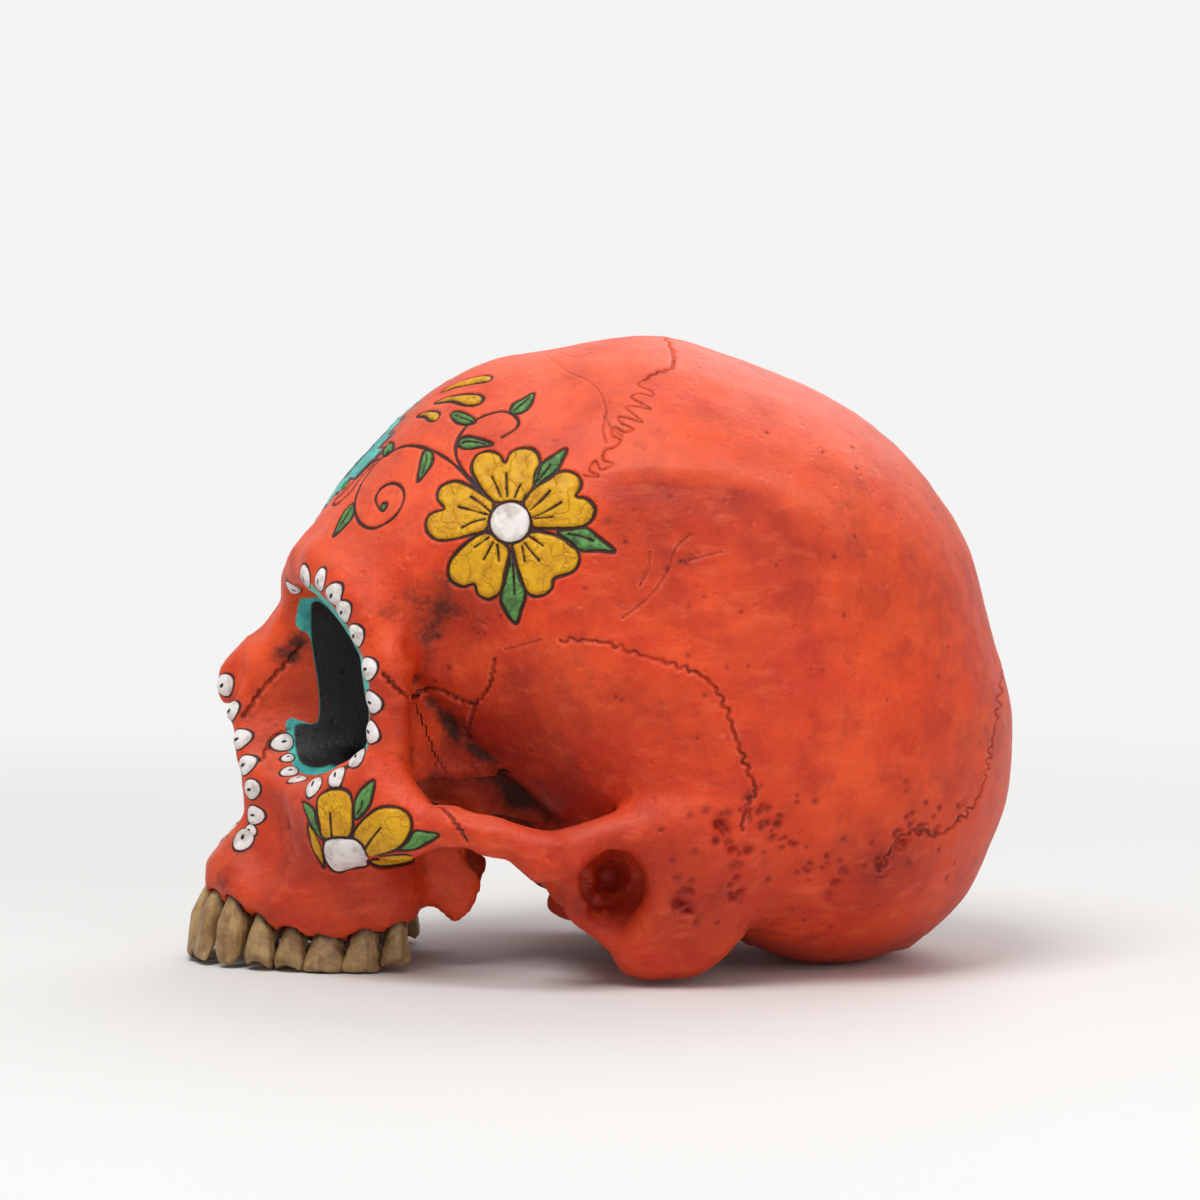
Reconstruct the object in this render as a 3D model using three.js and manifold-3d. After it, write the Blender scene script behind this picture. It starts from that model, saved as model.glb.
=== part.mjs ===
// A life-size painted skull for the Day of the Dead, without its lower jaw, as its separate bones
// and its sixteen upper teeth. Millimetres, +Z up, the face towards -Y, the skull's left side at +X.
// It lies as it rests on a table: on its back teeth and on the underside of the occipital bone.
import * as THREE from "three";
import { mergeVertices } from "three/addons/utils/BufferGeometryUtils.js";
import Module from "manifold-3d";

const wasm = await Module();
wasm.setup();
const { Vector2, Vector3, Matrix4 } = THREE;

// Overall sizes, which every table of places is a share of
const SKULL_BREADTH = 142;
const SKULL_LENGTH = 206;
const SKULL_HEIGHT = 154;

// The braincase
const VAULT_WALL = 6;
const VAULT_CENTRE_SHARE = [0, 0.0874, 0.5195];
const VAULT_HALF_BREADTH_SHARE = 0.4965;
const FRONT_TAPER_SHARE = 0.09;
const FRONT_TAPER_START_SHARE = 0.1845;
const FRONT_TAPER_RUN_SHARE = 0.4612;
const FORAMEN_HALF_BREADTH = 15.5;

// The temples
const TEMPLE_HOLLOW = 1.5;
const TEMPLE_CREST = 0.7;
const TEMPLE_CENTRE_SHARE = [0, 0.0194, 0.4156];
const TEMPLE_HALF_SHARE = [0, 0.3107, 0.3506];
const TEMPLE_SIDE_START_SHARE = 0.2113;
const TEMPLE_SIDE_RUN_SHARE = 0.1408;
const CREST_RISE_SHARE = 0.22;
const CREST_WIDTH_SHARE = 0.06;

// The orbits: the inner end of the rim, then half sizes and depth
const ORBIT_RIM_SHARE = [0.0775, -0.3495, 0.4513];
const ORBIT_HALF_SHARE = [0.1289, 0.2233, 0.1513];
const ORBIT_SPLAY_SHARE = 0.0106;
const ORBIT_SQUARENESS = 2.7;
const ORBIT_DROOP_SHARE = 0.1;
const ORBIT_TAPER_SHARE = 0.3;
const ORBIT_LEAST_SHARE = 0.01;

// Thicknesses of the bars, plates and bosses that the bones are shaped from, as radii
const BROW_THICKNESS = 7;
const CHEEK_POST_THICKNESS = 6;
const CHEEK_BODY_THICKNESS = 8.5;
const LOWER_RIM_THICKNESS = 5;
const ARCH_THICKNESS = 5.2;
const ARCH_ROOT_THICKNESS = 5;
const TUBERCLE_THICKNESS = 4;
const NOSE_THICKNESS = 5;
const NOSE_SIDE_THICKNESS = 6.5;
const UPPER_JAW_THICKNESS = 13;
const JAW_FRONT_THICKNESS = 10;
const GUM_THICKNESS = 7.5;
const TUBER_THICKNESS = 9;
const NASAL_SPINE_THICKNESS = 4;
const SKULL_BASE_THICKNESS = 13;
const CONDYLE_THICKNESS = 5.5;
const MASTOID_THICKNESS = 10.5;
const MASTOID_FRONT_THICKNESS = 6.5;
const MASTOID_BACK_THICKNESS = 8.5;
const PETROUS_THICKNESS = 9;
const EAR_RING_THICKNESS = 3.6;
const PTERYGOID_ROOT_THICKNESS = 8;
const PTERYGOID_PLATE_THICKNESS = 2.1;
const INION_THICKNESS = 4;
const EAR_PIT_RADIUS = 8.4;
const NASAL_SLOT_RADIUS = 5;
const NASAL_FLOOR_RADIUS = 7.6;
const CHOANA_RADIUS = 7;
const DIGASTRIC_RADIUS = 3;

// Rounded hollows and blocks: places and half sizes as shares of the breadth, length and height
const MIDDLE_ROUNDING = 6;
const MIDDLE_SHARE = [0, -0.2718, 0.3896];
const MIDDLE_HALF_SHARE = [0.0915, 0.1165, 0.1753];
const FOSSA_SHARE = [0.6021, -0.1942, 0.4286];
const FOSSA_HALF_SHARE = [0.2606, 0.1456, 0.2597];
const LOW_FOSSA_SHARE = [0.3662, -0.1456, 0.2338];
const LOW_FOSSA_HALF_SHARE = [0.1197, 0.1019, 0.1558];
const PALATE_SHARE = [0, -0.301, 0.026];
const PALATE_HALF_SHARE = [0.1408, 0.1311, 0.1299];
const CANINE_HOLLOW_SHARE = [0.2113, -0.4078, 0.2143];
const CANINE_HOLLOW_HALF_SHARE = [0.0634, 0.0437, 0.0779];
const JAW_SOCKET_SHARE = [0.3944, -0.0243, 0.1558];
const JAW_SOCKET_HALF_SHARE = [0.0704, 0.0194, 0.0325];

// How far one form runs into the next
const BROAD_BLEND = 12;
const SOFT_BLEND = 8;
const MIDDLE_BLEND = 5.5;
const CLOSE_BLEND = 3;
const FINE_BLEND = 2;
const FAR_AWAY = 16;

// How far a bar is stretched along the breadth, length and height, as shares of its round form
const ROUND_SHARES = [1, 1, 1];
const CHEEK_BODY_STRETCH_SHARES = [1, 1, 1.15];
const ARCH_STRETCH_SHARES = [1, 1, 1.3];
const TUBERCLE_STRETCH_SHARES = [1, 1.2, 1];
const GUM_STRETCH_SHARES = [1, 1, 1.1];
const MASTOID_STRETCH_SHARES = [1, 1.15, 1];
const OUTER_PLATE_STRETCH_SHARES = [1, 3.2, 1];
const INNER_PLATE_STRETCH_SHARES = [1, 2.4, 1];
const EAR_PIT_STRETCH_SHARES = [1, 0.9, 1.15];
const NASAL_SLOT_STRETCH_SHARES = [1, 1, 2.6];
const NASAL_FLOOR_STRETCH_SHARES = [1, 1, 1.35];
const CHOANA_STRETCH_SHARES = [1, 1, 1.3];
const DIGASTRIC_STRETCH_SHARES = [1, 1, 1.6];
const FORAMEN_STRETCH_SHARES = [1, 1.15, 1];

// Sutures, the seams between the bones
const SUTURE_GAP = 0.3;
const SUTURE_PITCH = 9;
const SUTURE_SWING_SHARE = 0.18;
const SQUAMOSAL_SWING_SHARE = 0.09;
const FACE_SWING_SHARE = 0.1;
const TEMPORAL_INNER_SHARE = [0.169, 0, 0];
const BASILAR_SEAM_SHARE = [0, -0.0583, 0.3896];
const CONDYLAR_BACK_SHARE = [0, 0.2816, 0.3896];
const CLIVUS_FRONT_SHARE = [0, -0.1311, 0.3896];
const ARCH_TOP_SHARE = [0, 0, 0.3896];
const LACRIMAL_INNER_SHARE = [0.0282, 0, 0];
const PALATINE_OUTER_SHARE = [0.1127, 0, 0];
const OVERRUN = 40;

// Teeth
const TOOTH_DEPTH = 9;
const TOOTH_ROOT = 12;
const SOCKET_CLEARANCE = 0.3;
const TOOTH_SIDES = 10;
const TOOTH_SQUARENESS = 2.5;
const CUSP_HEIGHT = 0.9;

// Thin bones inside the nose
const VOMER_THICKNESS = 2;
const CONCHA_THICKNESS = 1.8;
const CONCHA_ROLL_RADIUS = 2.6;
const CONCHA_TAB_REACH = 5.5;
const CONCHA_BACK_GAP = 3;
const CONCHA_STEPS = 8;
const CONCHA_START = 0;
const CONCHA_END = THREE.MathUtils.degToRad(230);
const INNER_CLEARANCE = 0.35;

// How finely the skin is drawn
const CELL = 3;
const SKIN_TRIANGLES = 5400;
const SETTLE_PASSES = 2;
const GRID_MARGIN = 7;
const SLOPE_STEP = 0.06;
const LONGEST_SETTLE = 1;
const FLAT_ERROR = 2e-5;
const LEAST_AREA = 1e-6;
const ANGLE_STEPS = 720;
const FULL_TURN = 2 * Math.PI;

// Limits below which a slope, a corner or a turned triangle counts as none, and the small weight
// that makes short edges go first where the surface is flat
const LEAST_SHARE = 1e-6;
const LEAST_SLOPE_SHARE = 0.05;
const LEAST_CORNER_SHARE = 1e-4;
const LEAST_TURN_SHARE = 0.3;
const EDGE_WEIGHT_SHARE = 1e-7;

// Colours of the painted bone and of the teeth
const BONE_COLOUR = 0xd9432a;
const TOOTH_COLOUR = 0xc3a478;
const BONE_ROUGHNESS = 0.62;
const TOOTH_ROUGHNESS = 0.45;

// Places. Rows of a bar are shares of the breadth, length and height and of the bar's thickness.
const BROW_SHARES = [
  [0, -0.3388, 0.5909, 0.8857], [0.0634, -0.3417, 0.6006, 0.9429], [0.1408, -0.334, 0.6299, 0.8571],
  [0.2254, -0.3184, 0.6396, 0.7143], [0.2958, -0.2913, 0.6104, 0.7143], [0.338, -0.2573, 0.5519, 0.6857],
  [0.3592, -0.2403, 0.487, 0.6286],
];
const CHEEK_POST_SHARES = [
  [0.3592, -0.2379, 0.4935, 0.7333], [0.3556, -0.234, 0.4416, 0.7], [0.3486, -0.2359, 0.3831, 0.7667],
  [0.3415, -0.2476, 0.3247, 0.9667],
];
const CHEEK_BODY_SHARES = [
  [0.3521, -0.2379, 0.2597, 1], [0.2958, -0.2913, 0.2468, 0.9412], [0.2254, -0.3301, 0.2597, 0.8824],
];
const LOWER_RIM_SHARES = [
  [0.331, -0.267, 0.3117, 1], [0.2676, -0.3058, 0.2825, 1], [0.1901, -0.3398, 0.276, 1],
  [0.1268, -0.3689, 0.2987, 1], [0.0986, -0.3786, 0.3506, 0.9],
];
const ARCH_SHARES = [
  [0.3803, -0.2136, 0.2468, 1], [0.4225, -0.1699, 0.239, 0.8462], [0.4472, -0.1262, 0.2247, 0.7115],
  [0.4613, -0.0777, 0.2143, 0.6154], [0.4613, -0.0291, 0.2078, 0.6346], [0.4366, 0.0146, 0.2208, 0.8077],
];
const ARCH_ROOT_SHARES = [
  [0.4507, -0.0388, 0.2078, 0.72], [0.4366, 0.0194, 0.2273, 0.92], [0.4437, 0.0874, 0.2532, 0.8],
  [0.4296, 0.1553, 0.2727, 0.6],
];
const TUBERCLE_SHARES = [[0.4507, -0.0631, 0.1948, 0.9], [0.3662, -0.0485, 0.1916, 1]];
const NOSE_SHARES = [[0, -0.3544, 0.5455, 0.92], [0, -0.4053, 0.4935, 0.96], [0, -0.4398, 0.4571, 0.84]];
const NOSE_SIDE_SHARES = [
  [0.0352, -0.3544, 0.5325, 0.7692], [0.0507, -0.3932, 0.4675, 0.7385], [0.062, -0.4184, 0.3994, 0.7077],
  [0.0817, -0.4039, 0.3442, 0.8308], [0.0958, -0.3908, 0.2727, 0.9538], [0.0915, -0.3883, 0.2208, 0.9692],
];
const UPPER_JAW_SHARES = [
  [0.1549, -0.3301, 0.2857, 0.9231], [0.169, -0.3204, 0.1948, 1], [0.162, -0.3107, 0.1331, 0.9231],
];
const JAW_FRONT_SHARES = [
  [0, -0.4189, 0.1623, 0.7], [0.0775, -0.4078, 0.1656, 0.84], [0.1268, -0.3786, 0.1753, 1],
];
const GUM_SHARES = [
  [0, -0.4481, 0.1364, 0.7733], [0.0775, -0.4369, 0.1351, 0.84], [0.1303, -0.4102, 0.1331, 0.9067],
  [0.1725, -0.3665, 0.1136, 0.9733], [0.1923, -0.3155, 0.1, 0.9867], [0.1937, -0.2476, 0.1104, 0.96],
];
const TUBER_SHARES = [[0.1761, -0.2621, 0.1948, 1], [0.1761, -0.2573, 0.1266, 0.9444]];
const NASAL_SPINE_SHARES = [[0, -0.3981, 0.1851, 1], [0, -0.4345, 0.1981, 0.5]];
const SKULL_BASE_SHARES = [
  [0, -0.0097, 0.1364, 0.6923], [0, -0.0777, 0.1883, 0.7692], [0, -0.1553, 0.2597, 1],
  [0, -0.1942, 0.3377, 1],
];
const CONDYLE_SHARES = [
  [0.0915, -0.0437, 0.0974, 0.8182], [0.1232, 0, 0.0974, 1], [0.1338, 0.0388, 0.1104, 0.9091],
];
const MASTOID_SHARES = [
  [0.4085, 0.0971, 0.2338, 0.9524], [0.3908, 0.0777, 0.1429, 1], [0.3662, 0.0704, 0.0747, 0.8762],
];
const MASTOID_FRONT_SHARES = [
  [0.3803, 0.0485, 0.1429, 0.9538], [0.3662, 0.0495, 0.0597, 0.9692], [0.3627, 0.0971, 0.0571, 1],
];
const MASTOID_BACK_SHARES = [[0.4014, 0.1456, 0.1948, 0.9412], [0.3592, 0.1262, 0.0974, 1]];
const PETROUS_SHARES = [
  [0.3803, 0, 0.1753, 0.8889], [0.2676, -0.0194, 0.1623, 1], [0.1408, -0.0485, 0.1753, 0.8889],
];
const EAR_RING_SHARES = [
  [0.4014, -0.0291, 0.1753, 0.9722], [0.3944, -0.0218, 0.1201, 1], [0.3803, 0.0097, 0.0877, 1],
  [0.3662, 0.0388, 0.0844, 0.9722],
];
const PTERYGOID_ROOT_SHARES = [[0.1056, -0.199, 0.2208, 1], [0.1127, -0.2039, 0.1429, 0.5625]];
const OUTER_PLATE_SHARES = [
  [0.1268, -0.1845, 0.2013, 1], [0.1444, -0.1748, 0.1364, 1], [0.1585, -0.1699, 0.0779, 0.9048],
];
const INNER_PLATE_SHARES = [
  [0.088, -0.1893, 0.2013, 1], [0.0845, -0.1869, 0.1299, 0.9524], [0.088, -0.1845, 0.0812, 0.8571],
];
const INION_SHARES = [[0, 0.3398, 0.0649, 1], [0, 0.3689, 0.026, 0.6]];
const EAR_PIT_SHARES = [
  [0.5493, 0.017, 0.1656, 1], [0.4085, 0.017, 0.1591, 0.881], [0.3239, 0.0097, 0.1623, 0.3571],
];
const NASAL_SLOT_SHARES = [[0, -0.534, 0.3377, 0.92], [0, -0.2233, 0.3377, 1]];
const NASAL_FLOOR_SHARES = [[0.0324, -0.534, 0.2695, 1], [0.0324, -0.2136, 0.2597, 0.8947]];
const CHOANA_SHARES = [[0.0423, -0.2427, 0.2338, 0.8571], [0.0423, -0.0971, 0.1688, 1]];
const DIGASTRIC_SHARES = [
  [0.3099, 0.0388, 0.039, 0.8333], [0.3028, 0.1165, 0.0455, 1], [0.2958, 0.1748, 0.0584, 0.6667],
];
const FORAMEN_SHARES = [[0, 0.0777, -0.1299, 1], [0, 0.0777, 0.2922, 1]];

// The braincase seen from the side, round from the back over the top, as shares of length and height
const VAULT_OUTLINE_SHARES = [
  [0.4845, 0.4708], [0.4723, 0.5188], [0.4592, 0.5909], [0.4432, 0.663], [0.4131, 0.7357], [0.3699, 0.8078],
  [0.3049, 0.8792], [0.2369, 0.9273], [0.1675, 0.9623], [0.0767, 0.9994], [-0.0476, 0.9818],
  [-0.1364, 0.9578], [-0.2117, 0.9032], [-0.268, 0.8312], [-0.316, 0.7565], [-0.3515, 0.6714],
  [-0.3641, 0.5909], [-0.335, 0.513], [-0.2718, 0.4545], [-0.1942, 0.3766], [-0.1068, 0.2987],
  [-0.0388, 0.2208], [0.0194, 0.1558], [0.0971, 0.0909], [0.1699, 0.0325], [0.233, 0], [0.2816, -0.0084],
  [0.334, 0.0032], [0.3709, 0.0208], [0.4058, 0.0494], [0.4451, 0.1078], [0.4699, 0.1805], [0.4903, 0.2532],
  [0.4961, 0.3253], [0.4971, 0.3981],
];

// How square the braincase is across: the angle round its side outline in degrees, and the power of
// the rounded square, where 2 is an ellipse
const VAULT_SQUARENESS = [
  [0, 2.05],
  [45, 2.15],
  [90, 2.2],
  [135, 2.25],
  [170, 2.6],
  [200, 2.6],
  [235, 2.5],
  [270, 3],
  [300, 2.3],
  [330, 2.1],
  [360, 2.05],
];

// Suture lines. Side lines are shares of length and height, top lines of breadth and length.
const CORONAL_SHARES = [
  [0.0767, 1.0032], [0.0825, 0.9383], [0.0631, 0.8961], [0.0461, 0.8571], [0.017, 0.8377], [0, 0.7896],
  [-0.0388, 0.7013], [-0.0825, 0.5974], [-0.1165, 0.513], [-0.1252, 0.4682],
];
const SQUAMOSAL_SHARES = [
  [-0.1252, 0.4682], [-0.0874, 0.513], [-0.0451, 0.5357], [0.0451, 0.513], [0.1126, 0.4831],
  [0.1519, 0.3922], [0.1767, 0.3091], [0.1942, 0.2338], [0.2184, 0.1948],
];
const LAMBDOID_SHARES = [
  [0.2184, 0.1948], [0.2816, 0.2078], [0.3398, 0.2338], [0.4146, 0.2468], [0.4485, 0.3052],
  [0.4835, 0.4708],
];
const SPHENOFRONTAL_SHARES = [[-0.1252, 0.4682], [-0.1845, 0.474], [-0.2136, 0.4935]];
const BROW_SEAM_SHARES = [
  [-0.2136, 0.4935], [-0.2471, 0.4779], [-0.2913, 0.4935], [-0.3398, 0.5195], [-0.3728, 0.5364],
];
const SPHENOSQUAMOSAL_SHARES = [[-0.1252, 0.4682], [-0.0922, 0.3896], [-0.0825, 0.2922], [-0.0825, 0.1299]];
const OCCIPITOMASTOID_SHARES = [[0.2184, 0.1948], [0.1845, 0.0779], [0.1505, 0]];
const ARCH_SEAM_SHARES = [[-0.2039, 0.3247], [-0.1908, 0.289], [-0.1515, 0.2273], [-0.1359, 0.1623]];
const WING_FRONT_SHARES = [[-0.2136, 0.4935], [-0.2136, 0.2792]];
const SAGITTAL_SHARES = [[0, -0.1456], [0, 0.534]];
const ARCH_INSIDE_SHARES = [[0.3275, -0.2233], [0.3732, -0.165], [0.3944, -0.0825], [0.3944, 0]];
const CHEEK_SEAM_SHARES = [[0.1408, 0.3377], [0.1831, 0.2857], [0.2394, 0.2338], [0.2887, 0.1429]];
const NASAL_SEAM_SHARES = [[0.0592, 0.4123], [0.0549, 0.4416], [0.0324, 0.5455]];
const LACRIMAL_SHARES = [[-0.3398, 0.5195], [-0.2913, 0.4935], [-0.2913, 0.3506], [-0.3252, 0.3377]];
const ETHMOID_SHARES = [
  [-0.2913, 0.4935], [-0.2471, 0.4779], [-0.2136, 0.4935], [-0.2136, 0.3247], [-0.2913, 0.3247],
];
const PALATINE_SHARES = [[-0.2524, 0.2792], [-0.2136, 0.2792], [-0.2136, 0.0519], [-0.2524, 0.0519]];
const VOMER_SHARES = [
  [-0.4078, 0.1883], [-0.3786, 0.2597], [-0.301, 0.3377], [-0.2233, 0.3636], [-0.2136, 0.2922],
  [-0.2233, 0.1883],
];
const CONCHA_SHARE = [0.0606, -0.3544, 0.2695];

// The upper teeth from the middle back: places of the neck and of the tip, the share of its room in
// the row that each fills, shares of the usual depth across the row and root, turn and form
const TEETH = [
  {
    name: "central_incisor",
    shape: "blade",
    neckShare: [0.0331, -0.4631, 0.0987],
    tipShare: [0.0345, -0.4898, 0.0058],
    breadthShare: 1.008,
    depthShare: 0.8444,
    rootShare: 1,
    turn: THREE.MathUtils.degToRad(6),
    cusps: 0,
  },
  {
    name: "lateral_incisor",
    shape: "blade",
    neckShare: [0.0887, -0.4515, 0.0974],
    tipShare: [0.0944, -0.4757, 0.0078],
    breadthShare: 0.9175,
    depthShare: 0.8,
    rootShare: 1,
    turn: THREE.MathUtils.degToRad(24),
    cusps: 0,
  },
  {
    name: "canine",
    shape: "point",
    neckShare: [0.1331, -0.4252, 0.0948],
    tipShare: [0.1451, -0.4427, 0.0045],
    breadthShare: 0.9811,
    depthShare: 1,
    rootShare: 1.1667,
    turn: THREE.MathUtils.degToRad(48),
    cusps: 0,
  },
  {
    name: "first_premolar",
    shape: "premolar",
    neckShare: [0.1634, -0.3913, 0.074],
    tipShare: [0.1718, -0.401, 0.0019],
    breadthShare: 0.8802,
    depthShare: 1.0444,
    rootShare: 1,
    turn: THREE.MathUtils.degToRad(64),
    cusps: 2,
  },
  {
    name: "second_premolar",
    shape: "premolar",
    neckShare: [0.1824, -0.3563, 0.0597],
    tipShare: [0.1901, -0.3641, -0.0013],
    breadthShare: 0.8928,
    depthShare: 1.0444,
    rootShare: 1,
    turn: THREE.MathUtils.degToRad(74),
    cusps: 2,
  },
  {
    name: "first_molar",
    shape: "molar",
    neckShare: [0.193, -0.318, 0.0519],
    tipShare: [0.2, -0.3233, -0.0071],
    breadthShare: 1.0306,
    depthShare: 1.2,
    rootShare: 0.9167,
    turn: THREE.MathUtils.degToRad(82),
    cusps: 4,
  },
  {
    name: "second_molar",
    shape: "molar",
    neckShare: [0.1979, -0.2748, 0.0558],
    tipShare: [0.2035, -0.2786, -0.0065],
    breadthShare: 1.0012,
    depthShare: 1.1778,
    rootShare: 0.9167,
    turn: THREE.MathUtils.degToRad(88),
    cusps: 4,
  },
  {
    name: "third_molar",
    shape: "molar",
    neckShare: [0.1958, -0.2374, 0.0649],
    tipShare: [0.1993, -0.2398, 0.0058],
    breadthShare: 0.8427,
    depthShare: 1.0444,
    rootShare: 0.8333,
    turn: THREE.MathUtils.degToRad(92),
    cusps: 4,
  },
];

// Sections of a tooth from the root to the tip: place along the root (below 0) or the crown, then
// shares of breadth, of depth and of the height of the cusps
const TOOTH_PROFILE_SHARES = {
  blade: [
    [-1, 0.28, 0.35, 0], [0, 0.72, 0.85, 0], [0.35, 0.95, 1, 0], [0.75, 1, 0.6, 0],
    [1, 0.93, 0.3, 0],
  ],
  point: [
    [-1, 0.3, 0.4, 0], [0, 0.75, 0.9, 0], [0.35, 1, 1, 0], [0.7, 0.88, 0.75, 0],
    [1, 0.34, 0.34, 0],
  ],
  premolar: [
    [-1, 0.35, 0.45, 0], [0, 0.76, 0.85, 0], [0.35, 1, 1, 0], [0.75, 0.96, 0.94, 0.4],
    [0.95, 0.66, 0.7, 1], [0.82, 0.28, 0.3, 0],
  ],
  molar: [
    [-1, 0.6, 0.6, 0], [0, 0.86, 0.88, 0], [0.4, 1, 1, 0], [0.8, 0.97, 0.97, 0.4],
    [0.95, 0.74, 0.76, 1], [0.8, 0.34, 0.36, 0],
  ],
};

// Places and outlines in millimetres

function place([x, y, z]) {
  return new Vector3(x * SKULL_BREADTH, y * SKULL_LENGTH, z * SKULL_HEIGHT);
}

function sideLine(shares) {
  return shares.map(([y, z]) => new Vector2(y * SKULL_LENGTH, z * SKULL_HEIGHT));
}

function topLine(shares) {
  return shares.map(([x, y]) => new Vector2(x * SKULL_BREADTH, y * SKULL_LENGTH));
}

function frontLine(shares) {
  return shares.map(([x, z]) => new Vector2(x * SKULL_BREADTH, z * SKULL_HEIGHT));
}

// Distances to forms: negative inside, positive outside

function clampShare(t) {
  return Math.min(1, Math.max(0, t));
}

function ease(t) {
  const held = clampShare(t);
  return held * held * (3 - 2 * held);
}

// The union of two distances with the corner between them filled over the width of the blend
function join(a, b, blend) {
  const near = Math.max(blend - Math.abs(a - b), 0) / blend;
  return Math.min(a, b) - (near * near * blend) / 4;
}

// What is left of a when b is cut away, with a rounded edge
function carve(a, b, blend) {
  return -join(-a, b, blend);
}

function ellipsoid(centre, { x: rx, y: ry, z: rz }) {
  const reach = Math.max(rx, ry, rz) + FAR_AWAY;
  const least = Math.min(rx, ry, rz);
  return (x, y, z) => {
    const dx = x - centre.x;
    const dy = y - centre.y;
    const dz = z - centre.z;
    const far = Math.sqrt(dx * dx + dy * dy + dz * dz);
    if (far > reach) return far - reach + FAR_AWAY;
    const unit = Math.hypot(dx / rx, dy / ry, dz / rz);
    const slope = Math.hypot(dx / rx / rx, dy / ry / ry, dz / rz / rz);
    return slope * least < LEAST_SHARE ? -least : (unit * (unit - 1)) / slope;
  };
}

function block(centre, { x: hx, y: hy, z: hz }, rounding) {
  return (x, y, z) => {
    const dx = Math.abs(x - centre.x) - hx + rounding;
    const dy = Math.abs(y - centre.y) - hy + rounding;
    const dz = Math.abs(z - centre.z) - hz + rounding;
    const outside = Math.hypot(Math.max(dx, 0), Math.max(dy, 0), Math.max(dz, 0));
    return outside + Math.min(Math.max(dx, dy, dz), 0) - rounding;
  };
}

// A bar of round sections through the given rows, stretched along the three directions
function bar(shares, thickness, stretchShares = ROUND_SHARES) {
  const [sx, sy, sz] = stretchShares;
  const least = Math.min(sx, sy, sz);
  const most = Math.max(sx, sy, sz);
  const rows = shares.map(([x, y, z, radius]) => {
    const at = place([x, y, z]);
    return [at.x / sx, at.y / sy, at.z / sz, radius * thickness];
  });
  const ends = new THREE.Box3().setFromPoints(shares.map(place));
  const middle = ends.getCenter(new Vector3());
  const reach = ends.getSize(new Vector3()).length() / 2 + thickness * most + FAR_AWAY;
  return (x, y, z) => {
    const far = Math.hypot(x - middle.x, y - middle.y, z - middle.z);
    if (far > reach) return far - reach + FAR_AWAY;
    const px = x / sx;
    const py = y / sy;
    const pz = z / sz;
    let nearest = Infinity;
    for (let i = 1; i < rows.length; i++) {
      const a = rows[i - 1];
      const b = rows[i];
      const bx = b[0] - a[0];
      const by = b[1] - a[1];
      const bz = b[2] - a[2];
      const along = (px - a[0]) * bx + (py - a[1]) * by + (pz - a[2]) * bz;
      const t = clampShare(along / (bx * bx + by * by + bz * bz));
      const ox = px - a[0] - t * bx;
      const oy = py - a[1] - t * by;
      const oz = pz - a[2] - t * bz;
      const here = Math.sqrt(ox * ox + oy * oy + oz * oz) - a[3] - t * (b[3] - a[3]);
      nearest = i === 1 ? here : join(nearest, here, CLOSE_BLEND);
    }
    return nearest * least;
  };
}

// The braincase: its side outline turned into a radius for every angle, then squared across
const vaultCentre = place(VAULT_CENTRE_SHARE);
const vaultHalfBreadth = VAULT_HALF_BREADTH_SHARE * SKULL_BREADTH;
const { vaultRadius, vaultPower } = vaultTables();

function turnOf(dy, dz) {
  const angle = Math.atan2(dz, dy);
  return angle < 0 ? angle + FULL_TURN : angle;
}

function vaultTables() {
  const rows = sideLine(VAULT_OUTLINE_SHARES).map((p) => {
    const dy = p.x - vaultCentre.y;
    const dz = p.y - vaultCentre.z;
    return [turnOf(dy, dz), Math.hypot(dy, dz)];
  });
  rows.sort((p, q) => p[0] - q[0]);
  const count = rows.length;
  const row = (i) => {
    const laps = Math.floor(i / count);
    const [angle, radius] = rows[i - laps * count];
    return [angle + laps * FULL_TURN, radius];
  };
  const radii = [];
  const powers = [];
  for (let step = 0; step <= ANGLE_STEPS; step++) {
    const angle = (step / ANGLE_STEPS) * FULL_TURN;
    let i = -1;
    while (row(i + 1)[0] <= angle) i++;
    radii.push(smoothThrough(row(i - 1), row(i), row(i + 1), row(i + 2), angle));
    powers.push(easedBetween(VAULT_SQUARENESS, THREE.MathUtils.radToDeg(angle)));
  }
  return { vaultRadius: radii, vaultPower: powers };
}

function smoothThrough(before, start, end, after, at) {
  const run = end[0] - start[0];
  const t = (at - start[0]) / run;
  const leave = ((end[1] - before[1]) / (end[0] - before[0])) * run;
  const arrive = ((after[1] - start[1]) / (after[0] - start[0])) * run;
  const t2 = t * t;
  const t3 = t2 * t;
  const leaving = (t3 - 2 * t2 + t) * leave + (1 - 3 * t2 + 2 * t3) * start[1];
  const arriving = (t3 - t2) * arrive + (3 * t2 - 2 * t3) * end[1];
  return leaving + arriving;
}

function easedBetween(table, at) {
  let i = 0;
  while (i + 2 < table.length && table[i + 1][0] <= at) i++;
  const t = ease((at - table[i][0]) / (table[i + 1][0] - table[i][0]));
  return table[i][1] * (1 - t) + table[i + 1][1] * t;
}

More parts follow.
